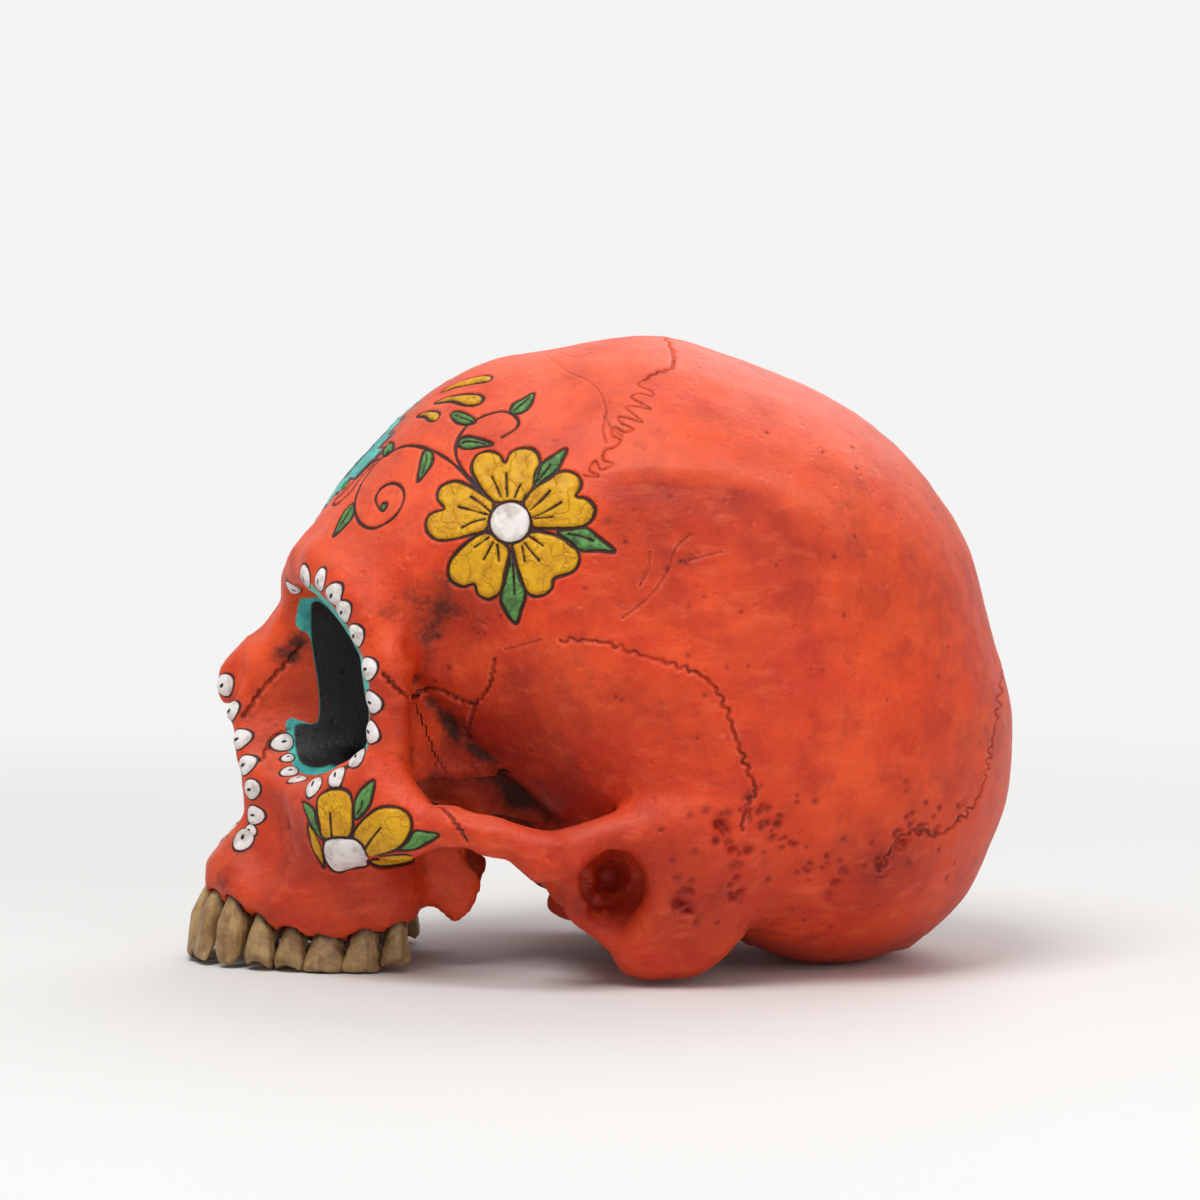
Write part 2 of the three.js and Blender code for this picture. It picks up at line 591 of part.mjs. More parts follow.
function vault(x, y, z) {
  const dy = y - vaultCentre.y;
  const dz = z - vaultCentre.z;
  const turn = (turnOf(dy, dz) / FULL_TURN) * ANGLE_STEPS;
  const i = Math.min(ANGLE_STEPS - 1, Math.floor(turn));
  const t = turn - i;
  const radius = vaultRadius[i] * (1 - t) + vaultRadius[i + 1] * t;
  const power = vaultPower[i] * (1 - t) + vaultPower[i + 1] * t;
  const forward = (FRONT_TAPER_START_SHARE - y / SKULL_LENGTH) / FRONT_TAPER_RUN_SHARE;
  const narrowing = FRONT_TAPER_SHARE * ease(forward);
  const across = Math.abs(x) / (vaultHalfBreadth * (1 - narrowing));
  const sum = Math.pow(Math.hypot(dy, dz) / radius, power) + Math.pow(across, power);
  const shell = Math.pow(sum, 1 / power);
  const length = Math.sqrt(x * x + dy * dy + dz * dz);
  return shell < LEAST_SHARE ? -radius : length * (1 - 1 / shell);
}

// The side wall is hollowed below the temporal line and has a low crest along it
const templeCentre = place(TEMPLE_CENTRE_SHARE);
const templeHalf = place(TEMPLE_HALF_SHARE);

function templeRelief(x, y, z) {
  const dy = (y - templeCentre.y) / templeHalf.y;
  const dz = (z - templeCentre.z) / templeHalf.z;
  const inside = 1 - Math.hypot(dy, dz);
  const hollow = TEMPLE_HOLLOW * ease(inside / CREST_RISE_SHARE);
  const crest = TEMPLE_CREST * Math.exp(-((inside / CREST_WIDTH_SHARE) ** 2));
  const forward = ease(1 / 2 - dy);
  const outward = ease((x / SKULL_BREADTH - TEMPLE_SIDE_START_SHARE) / TEMPLE_SIDE_RUN_SHARE);
  return (hollow - crest * forward) * outward;
}

// An orbit: square-round at the rim, upright along its inner wall, closing towards the back
const orbitRim = place(ORBIT_RIM_SHARE);
const orbitHalf = place(ORBIT_HALF_SHARE);
const orbitSplay = ORBIT_SPLAY_SHARE * SKULL_BREADTH;

function orbit(x, y, z) {
  const deep = (y - orbitRim.y) / orbitHalf.y;
  const t = clampShare(deep);
  const closing = Math.sqrt(Math.max(ORBIT_LEAST_SHARE, 1 - t * t)) * (1 - ORBIT_TAPER_SHARE * t);
  const halfBreadth = orbitHalf.x * closing;
  const halfHeight = orbitHalf.z * closing;
  const u = x - orbitRim.x - halfBreadth - orbitSplay * t;
  const v = z - orbitRim.z + ORBIT_DROOP_SHARE * u * (1 - t);
  const power = ORBIT_SQUARENESS;
  const sum = Math.pow(Math.abs(u) / halfBreadth, power) + Math.pow(Math.abs(v) / halfHeight, power);
  const radial = (Math.pow(sum, 1 / power) - 1) * Math.min(halfBreadth, halfHeight);
  return Math.max(radial, (deep - 1) * orbitHalf.y);
}

// The bars and hollows of one half of the skull
const brow = bar(BROW_SHARES, BROW_THICKNESS);
const cheekPost = bar(CHEEK_POST_SHARES, CHEEK_POST_THICKNESS);
const cheekBody = bar(CHEEK_BODY_SHARES, CHEEK_BODY_THICKNESS, CHEEK_BODY_STRETCH_SHARES);
const lowerRim = bar(LOWER_RIM_SHARES, LOWER_RIM_THICKNESS);
const arch = bar(ARCH_SHARES, ARCH_THICKNESS, ARCH_STRETCH_SHARES);
const archRoot = bar(ARCH_ROOT_SHARES, ARCH_ROOT_THICKNESS);
const tubercle = bar(TUBERCLE_SHARES, TUBERCLE_THICKNESS, TUBERCLE_STRETCH_SHARES);
const nose = bar(NOSE_SHARES, NOSE_THICKNESS);
const noseSide = bar(NOSE_SIDE_SHARES, NOSE_SIDE_THICKNESS);
const upperJaw = bar(UPPER_JAW_SHARES, UPPER_JAW_THICKNESS);
const jawFront = bar(JAW_FRONT_SHARES, JAW_FRONT_THICKNESS);
const gum = bar(GUM_SHARES, GUM_THICKNESS, GUM_STRETCH_SHARES);
const tuber = bar(TUBER_SHARES, TUBER_THICKNESS);
const nasalSpine = bar(NASAL_SPINE_SHARES, NASAL_SPINE_THICKNESS);
const skullBase = bar(SKULL_BASE_SHARES, SKULL_BASE_THICKNESS);
const condyle = bar(CONDYLE_SHARES, CONDYLE_THICKNESS);
const mastoid = bar(MASTOID_SHARES, MASTOID_THICKNESS, MASTOID_STRETCH_SHARES);
const mastoidFront = bar(MASTOID_FRONT_SHARES, MASTOID_FRONT_THICKNESS);
const mastoidBack = bar(MASTOID_BACK_SHARES, MASTOID_BACK_THICKNESS);
const petrous = bar(PETROUS_SHARES, PETROUS_THICKNESS);
const earRing = bar(EAR_RING_SHARES, EAR_RING_THICKNESS);
const pterygoidRoot = bar(PTERYGOID_ROOT_SHARES, PTERYGOID_ROOT_THICKNESS);
const outerPlate = bar(OUTER_PLATE_SHARES, PTERYGOID_PLATE_THICKNESS, OUTER_PLATE_STRETCH_SHARES);
const innerPlate = bar(INNER_PLATE_SHARES, PTERYGOID_PLATE_THICKNESS, INNER_PLATE_STRETCH_SHARES);
const inion = bar(INION_SHARES, INION_THICKNESS);
const earPit = bar(EAR_PIT_SHARES, EAR_PIT_RADIUS, EAR_PIT_STRETCH_SHARES);
const nasalSlot = bar(NASAL_SLOT_SHARES, NASAL_SLOT_RADIUS, NASAL_SLOT_STRETCH_SHARES);
const nasalFloor = bar(NASAL_FLOOR_SHARES, NASAL_FLOOR_RADIUS, NASAL_FLOOR_STRETCH_SHARES);
const choana = bar(CHOANA_SHARES, CHOANA_RADIUS, CHOANA_STRETCH_SHARES);
const digastric = bar(DIGASTRIC_SHARES, DIGASTRIC_RADIUS, DIGASTRIC_STRETCH_SHARES);
const foramen = bar(FORAMEN_SHARES, FORAMEN_HALF_BREADTH, FORAMEN_STRETCH_SHARES);
const fossa = ellipsoid(place(FOSSA_SHARE), place(FOSSA_HALF_SHARE));
const lowFossa = ellipsoid(place(LOW_FOSSA_SHARE), place(LOW_FOSSA_HALF_SHARE));
const middle = block(place(MIDDLE_SHARE), place(MIDDLE_HALF_SHARE), MIDDLE_ROUNDING);
const palate = ellipsoid(place(PALATE_SHARE), place(PALATE_HALF_SHARE));
const canineHollow = ellipsoid(place(CANINE_HOLLOW_SHARE), place(CANINE_HOLLOW_HALF_SHARE));
const jawSocket = ellipsoid(place(JAW_SOCKET_SHARE), place(JAW_SOCKET_HALF_SHARE));

function faceField(x, y, z) {
  let d = upperJaw(x, y, z);
  d = join(d, jawFront(x, y, z), SOFT_BLEND);
  d = join(d, gum(x, y, z), MIDDLE_BLEND);
  d = join(d, tuber(x, y, z), SOFT_BLEND);
  d = join(d, noseSide(x, y, z), MIDDLE_BLEND);
  d = join(d, nose(x, y, z), MIDDLE_BLEND);
  d = join(d, lowerRim(x, y, z), MIDDLE_BLEND);
  d = join(d, cheekBody(x, y, z), SOFT_BLEND);
  d = join(d, cheekPost(x, y, z), MIDDLE_BLEND);
  d = carve(d, canineHollow(x, y, z), SOFT_BLEND);
  return join(d, nasalSpine(x, y, z), CLOSE_BLEND);
}

function baseField(before, x, y, z) {
  let d = join(before, arch(x, y, z), MIDDLE_BLEND);
  d = join(d, archRoot(x, y, z), SOFT_BLEND);
  d = join(d, tubercle(x, y, z), MIDDLE_BLEND);
  d = carve(d, jawSocket(x, y, z), MIDDLE_BLEND);
  d = join(d, mastoid(x, y, z), SOFT_BLEND);
  d = join(d, mastoidFront(x, y, z), MIDDLE_BLEND);
  d = join(d, mastoidBack(x, y, z), SOFT_BLEND);
  d = join(d, earRing(x, y, z), CLOSE_BLEND);
  d = join(d, condyle(x, y, z), CLOSE_BLEND);
  d = join(d, pterygoidRoot(x, y, z), MIDDLE_BLEND);
  d = join(d, outerPlate(x, y, z), CLOSE_BLEND);
  d = join(d, innerPlate(x, y, z), CLOSE_BLEND);
  return join(d, inion(x, y, z), MIDDLE_BLEND);
}

function outerField(signedX, y, z) {
  const x = Math.abs(signedX);
  let d = vault(x, y, z) + templeRelief(x, y, z);
  d = carve(d, fossa(x, y, z), BROAD_BLEND);
  d = join(d, brow(x, y, z), SOFT_BLEND);
  d = join(d, skullBase(x, y, z), SOFT_BLEND);
  d = join(d, middle(x, y, z), MIDDLE_BLEND);
  d = join(d, petrous(x, y, z), MIDDLE_BLEND);
  d = carve(d, lowFossa(x, y, z), MIDDLE_BLEND);
  d = join(d, faceField(x, y, z), MIDDLE_BLEND);
  d = baseField(d, x, y, z);
  d = carve(d, digastric(x, y, z), CLOSE_BLEND);
  d = carve(d, earPit(x, y, z), CLOSE_BLEND);
  d = carve(d, orbit(x, y, z), FINE_BLEND);
  d = carve(d, palate(x, y, z), MIDDLE_BLEND);
  d = carve(d, join(nasalSlot(x, y, z), nasalFloor(x, y, z), CLOSE_BLEND), FINE_BLEND);
  return carve(d, choana(x, y, z), CLOSE_BLEND);
}

function skullField(x, y, z) {
  const skin = outerField(x, y, z);
  const inside = -join(-skin - VAULT_WALL, -vault(x, y, z) - VAULT_WALL, MIDDLE_BLEND);
  const hollow = carve(skin, inside, FINE_BLEND);
  return carve(hollow, foramen(Math.abs(x), y, z), MIDDLE_BLEND);
}

// The skin of a field, drawn as closed triangles in a grid of cells, each of six tetrahedra

const CUBE_CORNERS = [...Array(8).keys()].map((c) => [c & 1, (c >> 1) & 1, (c >> 2) & 1]);
const TETRAHEDRA = cubeTetrahedra();
const TETRAHEDRON_CASES = TETRAHEDRA.map((corners) => {
  return [...Array(16).keys()].map((mask) => crossingTriangles(corners, mask));
});

// Each runs from the first corner to the last one by two more, along the cell's edges
function cubeTetrahedra() {
  const last = CUBE_CORNERS.length - 1;
  const steps = [1, 2, 4];
  return steps.flatMap((a) => steps.filter((b) => b !== a).map((b) => [0, a, a | b, last]));
}

function meanCorner(corners) {
  const sum = corners.reduce((m, c) => m.add(new Vector3(...CUBE_CORNERS[c])), new Vector3());
  return sum.divideScalar(Math.max(1, corners.length));
}

// Which cell edges the skin crosses when the masked corners are inside, wound to face outwards
function crossingTriangles(corners, mask) {
  const inside = corners.filter((c, n) => (mask >> n) & 1);
  const outside = corners.filter((c, n) => !((mask >> n) & 1));
  if (inside.length === 0 || outside.length === 0) return [];
  const pairs = inside.flatMap((a) => outside.map((b) => [a, b]));
  const halves = [[pairs[0], pairs[1], pairs[3]], [pairs[0], pairs[3], pairs[2]]];
  const fans = pairs.length === 4 ? halves : [pairs];
  const away = meanCorner(outside).sub(meanCorner(inside));
  return fans.map((fan) => {
    const [a, b, c] = fan.map((edge) => meanCorner(edge));
    return b.sub(a).cross(c.sub(a)).dot(away) < 0 ? [fan[2], fan[1], fan[0]] : fan;
  });
}

// The distances at the corners of all cells between two far corners of the space
class FieldGrid {
  constructor(field, low, high) {
    this.low = low;
    this.size = high.clone().sub(low).divideScalar(CELL).ceil().addScalar(1);
    this.strideY = this.size.x;
    this.strideZ = this.size.x * this.size.y;
    this.values = new Float32Array(this.strideZ * this.size.z);
    for (let n = 0; n < this.values.length; n++) {
      this.values[n] = field(...this.spot(n, [0, 0, 0])) || Number.EPSILON;
    }
  }

  // The place that lies a part of a cell away from a numbered corner
  spot(n, [dx, dy, dz]) {
    const i = n % this.size.x;
    const j = Math.floor(n / this.strideY) % this.size.y;
    const k = Math.floor(n / this.strideZ);
    const { x, y, z } = this.low;
    return [x + (i + dx) * CELL, y + (j + dy) * CELL, z + (k + dz) * CELL];
  }

  // The numbers of the cells, by their lowest corners
  * cells() {
    for (let k = 0; k + 1 < this.size.z; k++) {
      for (let j = 0; j + 1 < this.size.y; j++) {
        for (let i = 0; i + 1 < this.size.x; i++) yield i + j * this.strideY + k * this.strideZ;
      }
    }
  }
}

function drawSkin(field, low, high) {
  const grid = new FieldGrid(field, low, high);
  const { values } = grid;
  const offsets = CUBE_CORNERS.map(([i, j, k]) => i + j * grid.strideY + k * grid.strideZ);
  const points = [];
  const triangles = [];
  const made = new Map();
  const crossing = (origin, a, b) => {
    const near = a & b;
    const way = (a | b) ^ near;
    const start = origin + offsets[near];
    const key = start * CUBE_CORNERS.length + way;
    if (made.has(key)) return made.get(key);
    const t = values[start] / (values[start] - values[origin + offsets[a | b]]);
    points.push(...grid.spot(start, CUBE_CORNERS[way].map((step) => t * step)));
    made.set(key, made.size);
    return made.size - 1;
  };
  for (const origin of grid.cells()) {
    const signs = offsets.map((o) => values[origin + o] < 0);
    if (signs.every((s) => s === signs[0])) continue;
    TETRAHEDRA.forEach((corners, n) => {
      const mask = corners.reduce((sum, c, bit) => sum | (signs[c] << bit), 0);
      const edges = TETRAHEDRON_CASES[n][mask].flat();
      triangles.push(...edges.map(([a, b]) => crossing(origin, a, b)));
    });
  }
  return { points, triangles };
}

// Moves each point of the skin along the slope of the field on to the surface itself
function settleSkin(skin, field) {
  const step = SLOPE_STEP;
  for (let i = 0; i < skin.points.length; i += 3) {
    const [x, y, z] = skin.points.slice(i, i + 3);
    const here = field(x, y, z);
    const ahead = [field(x + step, y, z), field(x, y + step, z), field(x, y, z + step)];
    const slope = new Vector3(...ahead.map((value) => (value - here) / step));
    const steep = slope.lengthSq();
    if (steep < LEAST_SLOPE_SHARE) continue;
    slope.multiplyScalar(here / steep).clampLength(0, LONGEST_SETTLE);
    skin.points[i] = x - slope.x;
    skin.points[i + 1] = y - slope.y;
    skin.points[i + 2] = z - slope.z;
  }
}

// Merging of edges, the flattest first, until few enough triangles are left or the next merge
// would move the surface by more than the allowed error

class EdgeHeap {
  constructor() {
    this.rows = [];
  }

  push(row) {
    const rows = this.rows;
    let i = rows.length;
    rows.push(row);
    while (i > 0) {
      const up = (i - 1) >> 1;
      if (rows[up].cost <= row.cost) break;
      rows[i] = rows[up];
      i = up;
    }
    rows[i] = row;
  }

  pop() {
    const rows = this.rows;
    const top = rows[0];
    const row = rows.pop();
    if (rows.length === 0) return top;
    let i = 0;
    for (;;) {
      let down = 2 * i + 1;
      if (down >= rows.length) break;
      if (down + 1 < rows.length && rows[down + 1].cost < rows[down].cost) down++;
      if (rows[down].cost >= row.cost) break;
      rows[i] = rows[down];
      i = down;
    }
    rows[i] = row;
    return top;
  }
}

// The squared distance to a set of planes, kept as the ten numbers of a symmetric matrix
function planeSum([x, y, z], d, weight) {
  const products = [x * x, x * y, x * z, x * d, y * y, y * z, y * d, z * z, z * d, d * d];
  return products.map((v) => v * weight);
}

function planeError(q, x, y, z) {
  const straight = q[0] * x * x + q[4] * y * y + q[7] * z * z + q[9];
  const crossed = q[1] * x * y + q[2] * x * z + q[5] * y * z + q[3] * x + q[6] * y + q[8] * z;
  return straight + 2 * crossed;
}

// The point nearest to all planes, or else the best of the two ends and their middle
function bestPoint(q, start, end) {
  const a = q[4] * q[7] - q[5] * q[5];
  const b = q[2] * q[5] - q[1] * q[7];
  const c = q[1] * q[5] - q[2] * q[4];
  const det = q[0] * a + q[1] * b + q[2] * c;
  const trace = q[0] + q[4] + q[7];
  if (Math.abs(det) > LEAST_CORNER_SHARE * trace * trace * trace) {
    const e = q[0] * q[7] - q[2] * q[2];
    const f = q[1] * q[2] - q[0] * q[5];
    const g = q[0] * q[4] - q[1] * q[1];
    const x = -(a * q[3] + b * q[6] + c * q[8]) / det;
    const y = -(b * q[3] + e * q[6] + f * q[8]) / det;
    const z = -(c * q[3] + f * q[6] + g * q[8]) / det;
    return [x, y, z];
  }
  const choices = [start, end, start.map((v, n) => (v + end[n]) / 2)];
  const costs = choices.map((at) => planeError(q, ...at));
  return choices[costs.indexOf(Math.min(...costs))];
}

function acrossOf(a, b, c) {
  const u = [b[0] - a[0], b[1] - a[1], b[2] - a[2]];
  const v = [c[0] - a[0], c[1] - a[1], c[2] - a[2]];
  return [u[1] * v[2] - u[2] * v[1], u[2] * v[0] - u[0] * v[2], u[0] * v[1] - u[1] * v[0]];
}

class SkinThinner {
  constructor({ points, triangles }) {
    const count = points.length / 3;
    this.points = points;
    this.triangles = triangles;
    this.left = triangles.length / 3;
    this.faces = Array.from({ length: count }, () => []);
    this.sums = Array.from({ length: count }, () => new Array(10).fill(0));
    this.stamps = new Int32Array(count);
    this.heap = new EdgeHeap();
    for (let f = 0; f < this.left; f++) this.addFace(f);
    for (let v = 0; v < count; v++) {
      for (const w of this.around(v)) if (v < w) this.offer(v, w);
    }
  }

  at(v) {
    return [this.points[3 * v], this.points[3 * v + 1], this.points[3 * v + 2]];
  }

  cornersOf(f) {
    return [this.triangles[3 * f], this.triangles[3 * f + 1], this.triangles[3 * f + 2]];
  }

  addFace(f) {
    const corners = this.cornersOf(f);
    const [first, second, third] = corners.map((v) => this.at(v));
    const across = acrossOf(first, second, third);
    const length = Math.hypot(...across) || 1;
    const normal = across.map((v) => v / length);
    const away = -(normal[0] * first[0] + normal[1] * first[1] + normal[2] * first[2]);
    const sum = planeSum(normal, away, length / 2);
    for (const v of corners) {
      this.faces[v].push(f);
      this.addSum(v, sum);
    }
  }

  addSum(v, sum) {
    for (let k = 0; k < sum.length; k++) this.sums[v][k] += sum[k];
  }

  around(v) {
    const ring = new Set(this.faces[v].flatMap((f) => this.cornersOf(f)));
    ring.delete(v);
    return ring;
  }

  offer(a, b) {
    const q = this.sums[a].map((v, k) => v + this.sums[b][k]);
    const start = this.at(a);
    const end = this.at(b);
    const goal = bestPoint(q, start, end);
    const long = Math.hypot(start[0] - end[0], start[1] - end[1], start[2] - end[2]);
    const cost = Math.max(0, planeError(q, ...goal)) + long ** 4 * EDGE_WEIGHT_SHARE;
    this.heap.push({ cost, a, b, goal, stampA: this.stamps[a], stampB: this.stamps[b] });
  }

  // Whether a triangle at v would fold over or vanish if v moved to the goal
  turnsOver(v, other, goal) {
    return this.faces[v].some((f) => {
      const corners = this.cornersOf(f);
      if (corners.includes(other)) return false;
      const before = acrossOf(...corners.map((w) => this.at(w)));
      const after = acrossOf(...corners.map((w) => (w === v ? goal : this.at(w))));
      const together = before[0] * after[0] + before[1] * after[1] + before[2] * after[2];
      const sizes = Math.hypot(...before) * Math.hypot(...after);
      return together < LEAST_TURN_SHARE * sizes || Math.hypot(...after) < LEAST_AREA;
    });
  }

  canMerge({ a, b, goal, stampA, stampB }) {
    if (this.stamps[a] !== stampA || this.stamps[b] !== stampB) return false;
    const ring = this.around(b);
    const shared = [...this.around(a)].filter((v) => ring.has(v));
    return shared.length === 2 && !this.turnsOver(a, b, goal) && !this.turnsOver(b, a, goal);
  }

  merge({ a, b, goal }) {
    for (const f of this.faces[b]) {
      const corners = this.cornersOf(f);
      if (corners.includes(a)) {
        for (const v of corners) if (v !== b) this.faces[v] = this.faces[v].filter((g) => g !== f);
        this.left--;
        continue;
      }
      this.triangles[3 * f + corners.indexOf(b)] = a;
      this.faces[a].push(f);
    }
    this.faces[b] = [];
    this.stamps[a]++;
    this.stamps[b]++;
    [this.points[3 * a], this.points[3 * a + 1], this.points[3 * a + 2]] = goal;
    this.addSum(a, this.sums[b]);
    for (const v of this.around(a)) this.offer(a, v);
  }

  // The corners and triangles that are left, numbered afresh
  result() {
    const numbers = new Map();
    const points = [];
    this.faces.forEach((list, v) => {
      if (list.length === 0) return;
      numbers.set(v, numbers.size);
      points.push(...this.at(v));
    });
    const alive = [...new Set(this.faces.flat())];
    const triangles = alive.flatMap((f) => this.cornersOf(f)).map((v) => numbers.get(v));
    return { points, triangles };
  }
}

function thinOut(skin, most, error) {
  const thinner = new SkinThinner(skin);
  while (thinner.left > most && thinner.heap.rows.length > 0) {
    const edge = thinner.heap.pop();
    if (edge.cost > error) break;
    if (thinner.canMerge(edge)) thinner.merge(edge);
  }
  return thinner.result();
}

// Solids that are joined and cut

function solidFromSkin({ points, triangles }) {
  const vertProperties = Float32Array.from(points);
  const triVerts = Uint32Array.from(triangles);
  return new wasm.Manifold(new wasm.Mesh({ numProp: 3, vertProperties, triVerts }));
}

function solidFromGeometry(geometry) {
  geometry.deleteAttribute("normal");
  geometry.deleteAttribute("uv");
  const merged = mergeVertices(geometry);
  return solidFromSkin({ points: merged.attributes.position.array, triangles: merged.index.array });
}

// The largest connected body of a solid, with the seams that only split flat faces taken out
function mainBody(solid) {
  const { vertProperties, triVerts } = solid.getMesh();
  const parent = Int32Array.from({ length: vertProperties.length / 3 }, (v, n) => n);
  const root = (v) => {
    let top = v;
    while (parent[top] !== top) top = parent[top];
    parent[v] = top;
    return top;
  };
  const faces = [...Array(triVerts.length / 3).keys()].map((f) => triVerts.slice(3 * f, 3 * f + 3));
  for (const [a, b, c] of faces) {
    parent[root(a)] = root(b);
    parent[root(a)] = root(c);
  }
  const counts = new Map();
  for (const [a] of faces) counts.set(root(a), (counts.get(root(a)) || 0) + 1);
  const [best] = [...counts.entries()].reduce((p, q) => (q[1] > p[1] ? q : p));
  const triangles = faces.filter(([a]) => root(a) === best).flatMap((face) => [...face]);
  return thinOut({ points: [...vertProperties], triangles }, 0, FLAT_ERROR);
}

function ccwOutline(outline) {
  return THREE.ShapeUtils.isClockWise(outline) ? [...outline].reverse() : outline;
}

// Moves every edge of an outline by half the suture gap, inwards for a growth of -1
function inset(outline, growth = -1) {
  const ccw = ccwOutline(outline);
  return ccw.map((p, i) => {
    const before = ccw[(i + ccw.length - 1) % ccw.length];
    const after = ccw[(i + 1) % ccw.length];
    const in1 = p.clone().sub(before).normalize();
    const in2 = after.clone().sub(p).normalize();
    const n1 = new Vector2(-in1.y, in1.x);
    const n2 = new Vector2(-in2.y, in2.x);
    const half = n1.clone().add(n2);
    return p.clone().addScaledVector(half, (-growth * SUTURE_GAP) / half.lengthSq());
  });
}

// A sawtooth seam along a line, swinging by a share of each tooth's length; its two ends stay
function sawtooth(line, swingShare = SUTURE_SWING_SHARE) {
  const rows = [line[0]];
  let flip = 1;
  for (let i = 1; i < line.length; i++) {
    const a = line[i - 1];
    const b = line[i];
    const length = a.distanceTo(b);
    const teeth = Math.max(1, Math.round(length / SUTURE_PITCH)) * 2;
    const across = new Vector2(a.y - b.y, b.x - a.x);
    for (let k = 1; k < teeth; k += 2) {
      const middle = a.clone().lerp(b, k / teeth);
      rows.push(middle.addScaledVector(across, (2 * swingShare * flip) / teeth));
      flip = -flip;
    }
    if (i === line.length - 1) rows.push(b);
  }
  return rows;
}

// Prisms through the whole skull from an outline seen from the side, from above or from the front

function prism(outline, from, to, turn) {
  const shape = new THREE.Shape(outline);
  const geometry = new THREE.ExtrudeGeometry(shape, { depth: to - from, bevelEnabled: false });
  geometry.translate(0, 0, from);
  geometry.applyMatrix4(turn);
  return solidFromGeometry(geometry);
}

const SIDE_TURN = new Matrix4().set(0, 0, 1, 0, 1, 0, 0, 0, 0, 1, 0, 0, 0, 0, 0, 1);
const FRONT_TURN = new Matrix4().set(1, 0, 0, 0, 0, 0, -1, 0, 0, 1, 0, 0, 0, 0, 0, 1);
const REACH = SKULL_LENGTH;

function sidePrism(outline, growth) {
  return prism(inset(outline, growth), -REACH, REACH, SIDE_TURN);
}

function topPrism(outline, growth) {
  return prism(inset(outline, growth), -REACH, REACH, new Matrix4());
}

function frontPrism(outline, growth) {
  return prism(inset(outline, growth), -REACH, REACH, FRONT_TURN);
}

// Outer limits of the outlines, past the skull on every side
const FRONT = -SKULL_LENGTH / 2 - OVERRUN;
const BACK = SKULL_LENGTH / 2 + OVERRUN;
const TOP = SKULL_HEIGHT + OVERRUN;
const BOTTOM = -OVERRUN;
const OUTSIDE = SKULL_BREADTH / 2 + OVERRUN;

const temporalInnerX = place(TEMPORAL_INNER_SHARE).x;
const basilarSeam = place(BASILAR_SEAM_SHARE);
const condylarBackY = place(CONDYLAR_BACK_SHARE).y;
const clivusFrontY = place(CLIVUS_FRONT_SHARE).y;
const archTopZ = place(ARCH_TOP_SHARE).z;
const lacrimalInnerX = place(LACRIMAL_INNER_SHARE).x;
const palatineOuterX = place(PALATINE_OUTER_SHARE).x;

const at2 = (a, b) => new Vector2(a, b);
const last = (line) => line[line.length - 1];

// The seams, drawn once and shared by the bones on their two sides
const coronal = sawtooth(sideLine(CORONAL_SHARES));
const squamosal = sawtooth(sideLine(SQUAMOSAL_SHARES), SQUAMOSAL_SWING_SHARE);
const lambdoid = sawtooth(sideLine(LAMBDOID_SHARES));
const sagittal = sawtooth(topLine(SAGITTAL_SHARES));
const sphenofrontal = sawtooth(sideLine(SPHENOFRONTAL_SHARES), FACE_SWING_SHARE);
const browSeam = sideLine(BROW_SEAM_SHARES);
const sphenosquamosal = sideLine(SPHENOSQUAMOSAL_SHARES);
const occipitomastoid = sideLine(OCCIPITOMASTOID_SHARES);
const archSeam = sawtooth(sideLine(ARCH_SEAM_SHARES), FACE_SWING_SHARE);
const wingFront = sideLine(WING_FRONT_SHARES);
const archInside = topLine(ARCH_INSIDE_SHARES);
const cheekSeam = frontLine(CHEEK_SEAM_SHARES);
const nasalSeam = frontLine(NASAL_SEAM_SHARES);
const lacrimalOutline = sideLine(LACRIMAL_SHARES);
const ethmoidOutline = sideLine(ETHMOID_SHARES);
const palatineOutline = sideLine(PALATINE_SHARES);

function mirrored(outline, side) {
  return outline.map((p) => at2(p.x * side, p.y));
}

function rectangle(x0, y0, x1, y1) {
  return [at2(x0, y0), at2(x1, y0), at2(x1, y1), at2(x0, y1)];
}

// Prisms between two planes across the breadth, as seen from the front
function between(x0, x1, side, growth) {
  return frontPrism(mirrored(rectangle(x0, BOTTOM, x1, TOP), side), growth);
}

// A line walked the other way, without its first or its last point where another line has it
function backwards(line, from = 0, to = line.length) {
  return [...line].reverse().slice(from, to);
}

function frontalRegion() {
  const outline = [at2(coronal[0].x, TOP), at2(FRONT, TOP), at2(FRONT, last(browSeam).y)];
  outline.push(...backwards(browSeam), ...backwards(sphenofrontal, 1), ...backwards(coronal, 1));
  return sidePrism(outline);
}

function parietalRegion(side) {
  const edge = [at2(coronal[0].x, TOP), ...coronal, ...squamosal.slice(1), ...lambdoid.slice(1)];
  edge.push(at2(BACK, last(lambdoid).y), at2(BACK, TOP));
  const half = [...sagittal, at2(last(sagittal).x, BACK)];
  half.push(at2(OUTSIDE * side, BACK), at2(OUTSIDE * side, FRONT), at2(0, FRONT));
  return sidePrism(edge).intersect(topPrism(half));
}

function occipitalRegion() {
  const squama = [...lambdoid, at2(BACK, last(lambdoid).y), at2(BACK, BOTTOM)];
  squama.push(at2(last(occipitomastoid).x, BOTTOM), ...backwards(occipitomastoid, 0, -1));
  const condylar = rectangle(basilarSeam.y, BOTTOM, condylarBackY, basilarSeam.z);
  const middlePart = sidePrism(condylar).intersect(between(-temporalInnerX, temporalInnerX, 1));
  return sidePrism(squama).add(middlePart);
}

function outsideArch(side) {
  const edge = [at2(archInside[0].x, FRONT), ...archInside];
  edge.push(at2(OUTSIDE, last(archInside).y), at2(OUTSIDE, FRONT));
  return topPrism(mirrored(edge, side));
}

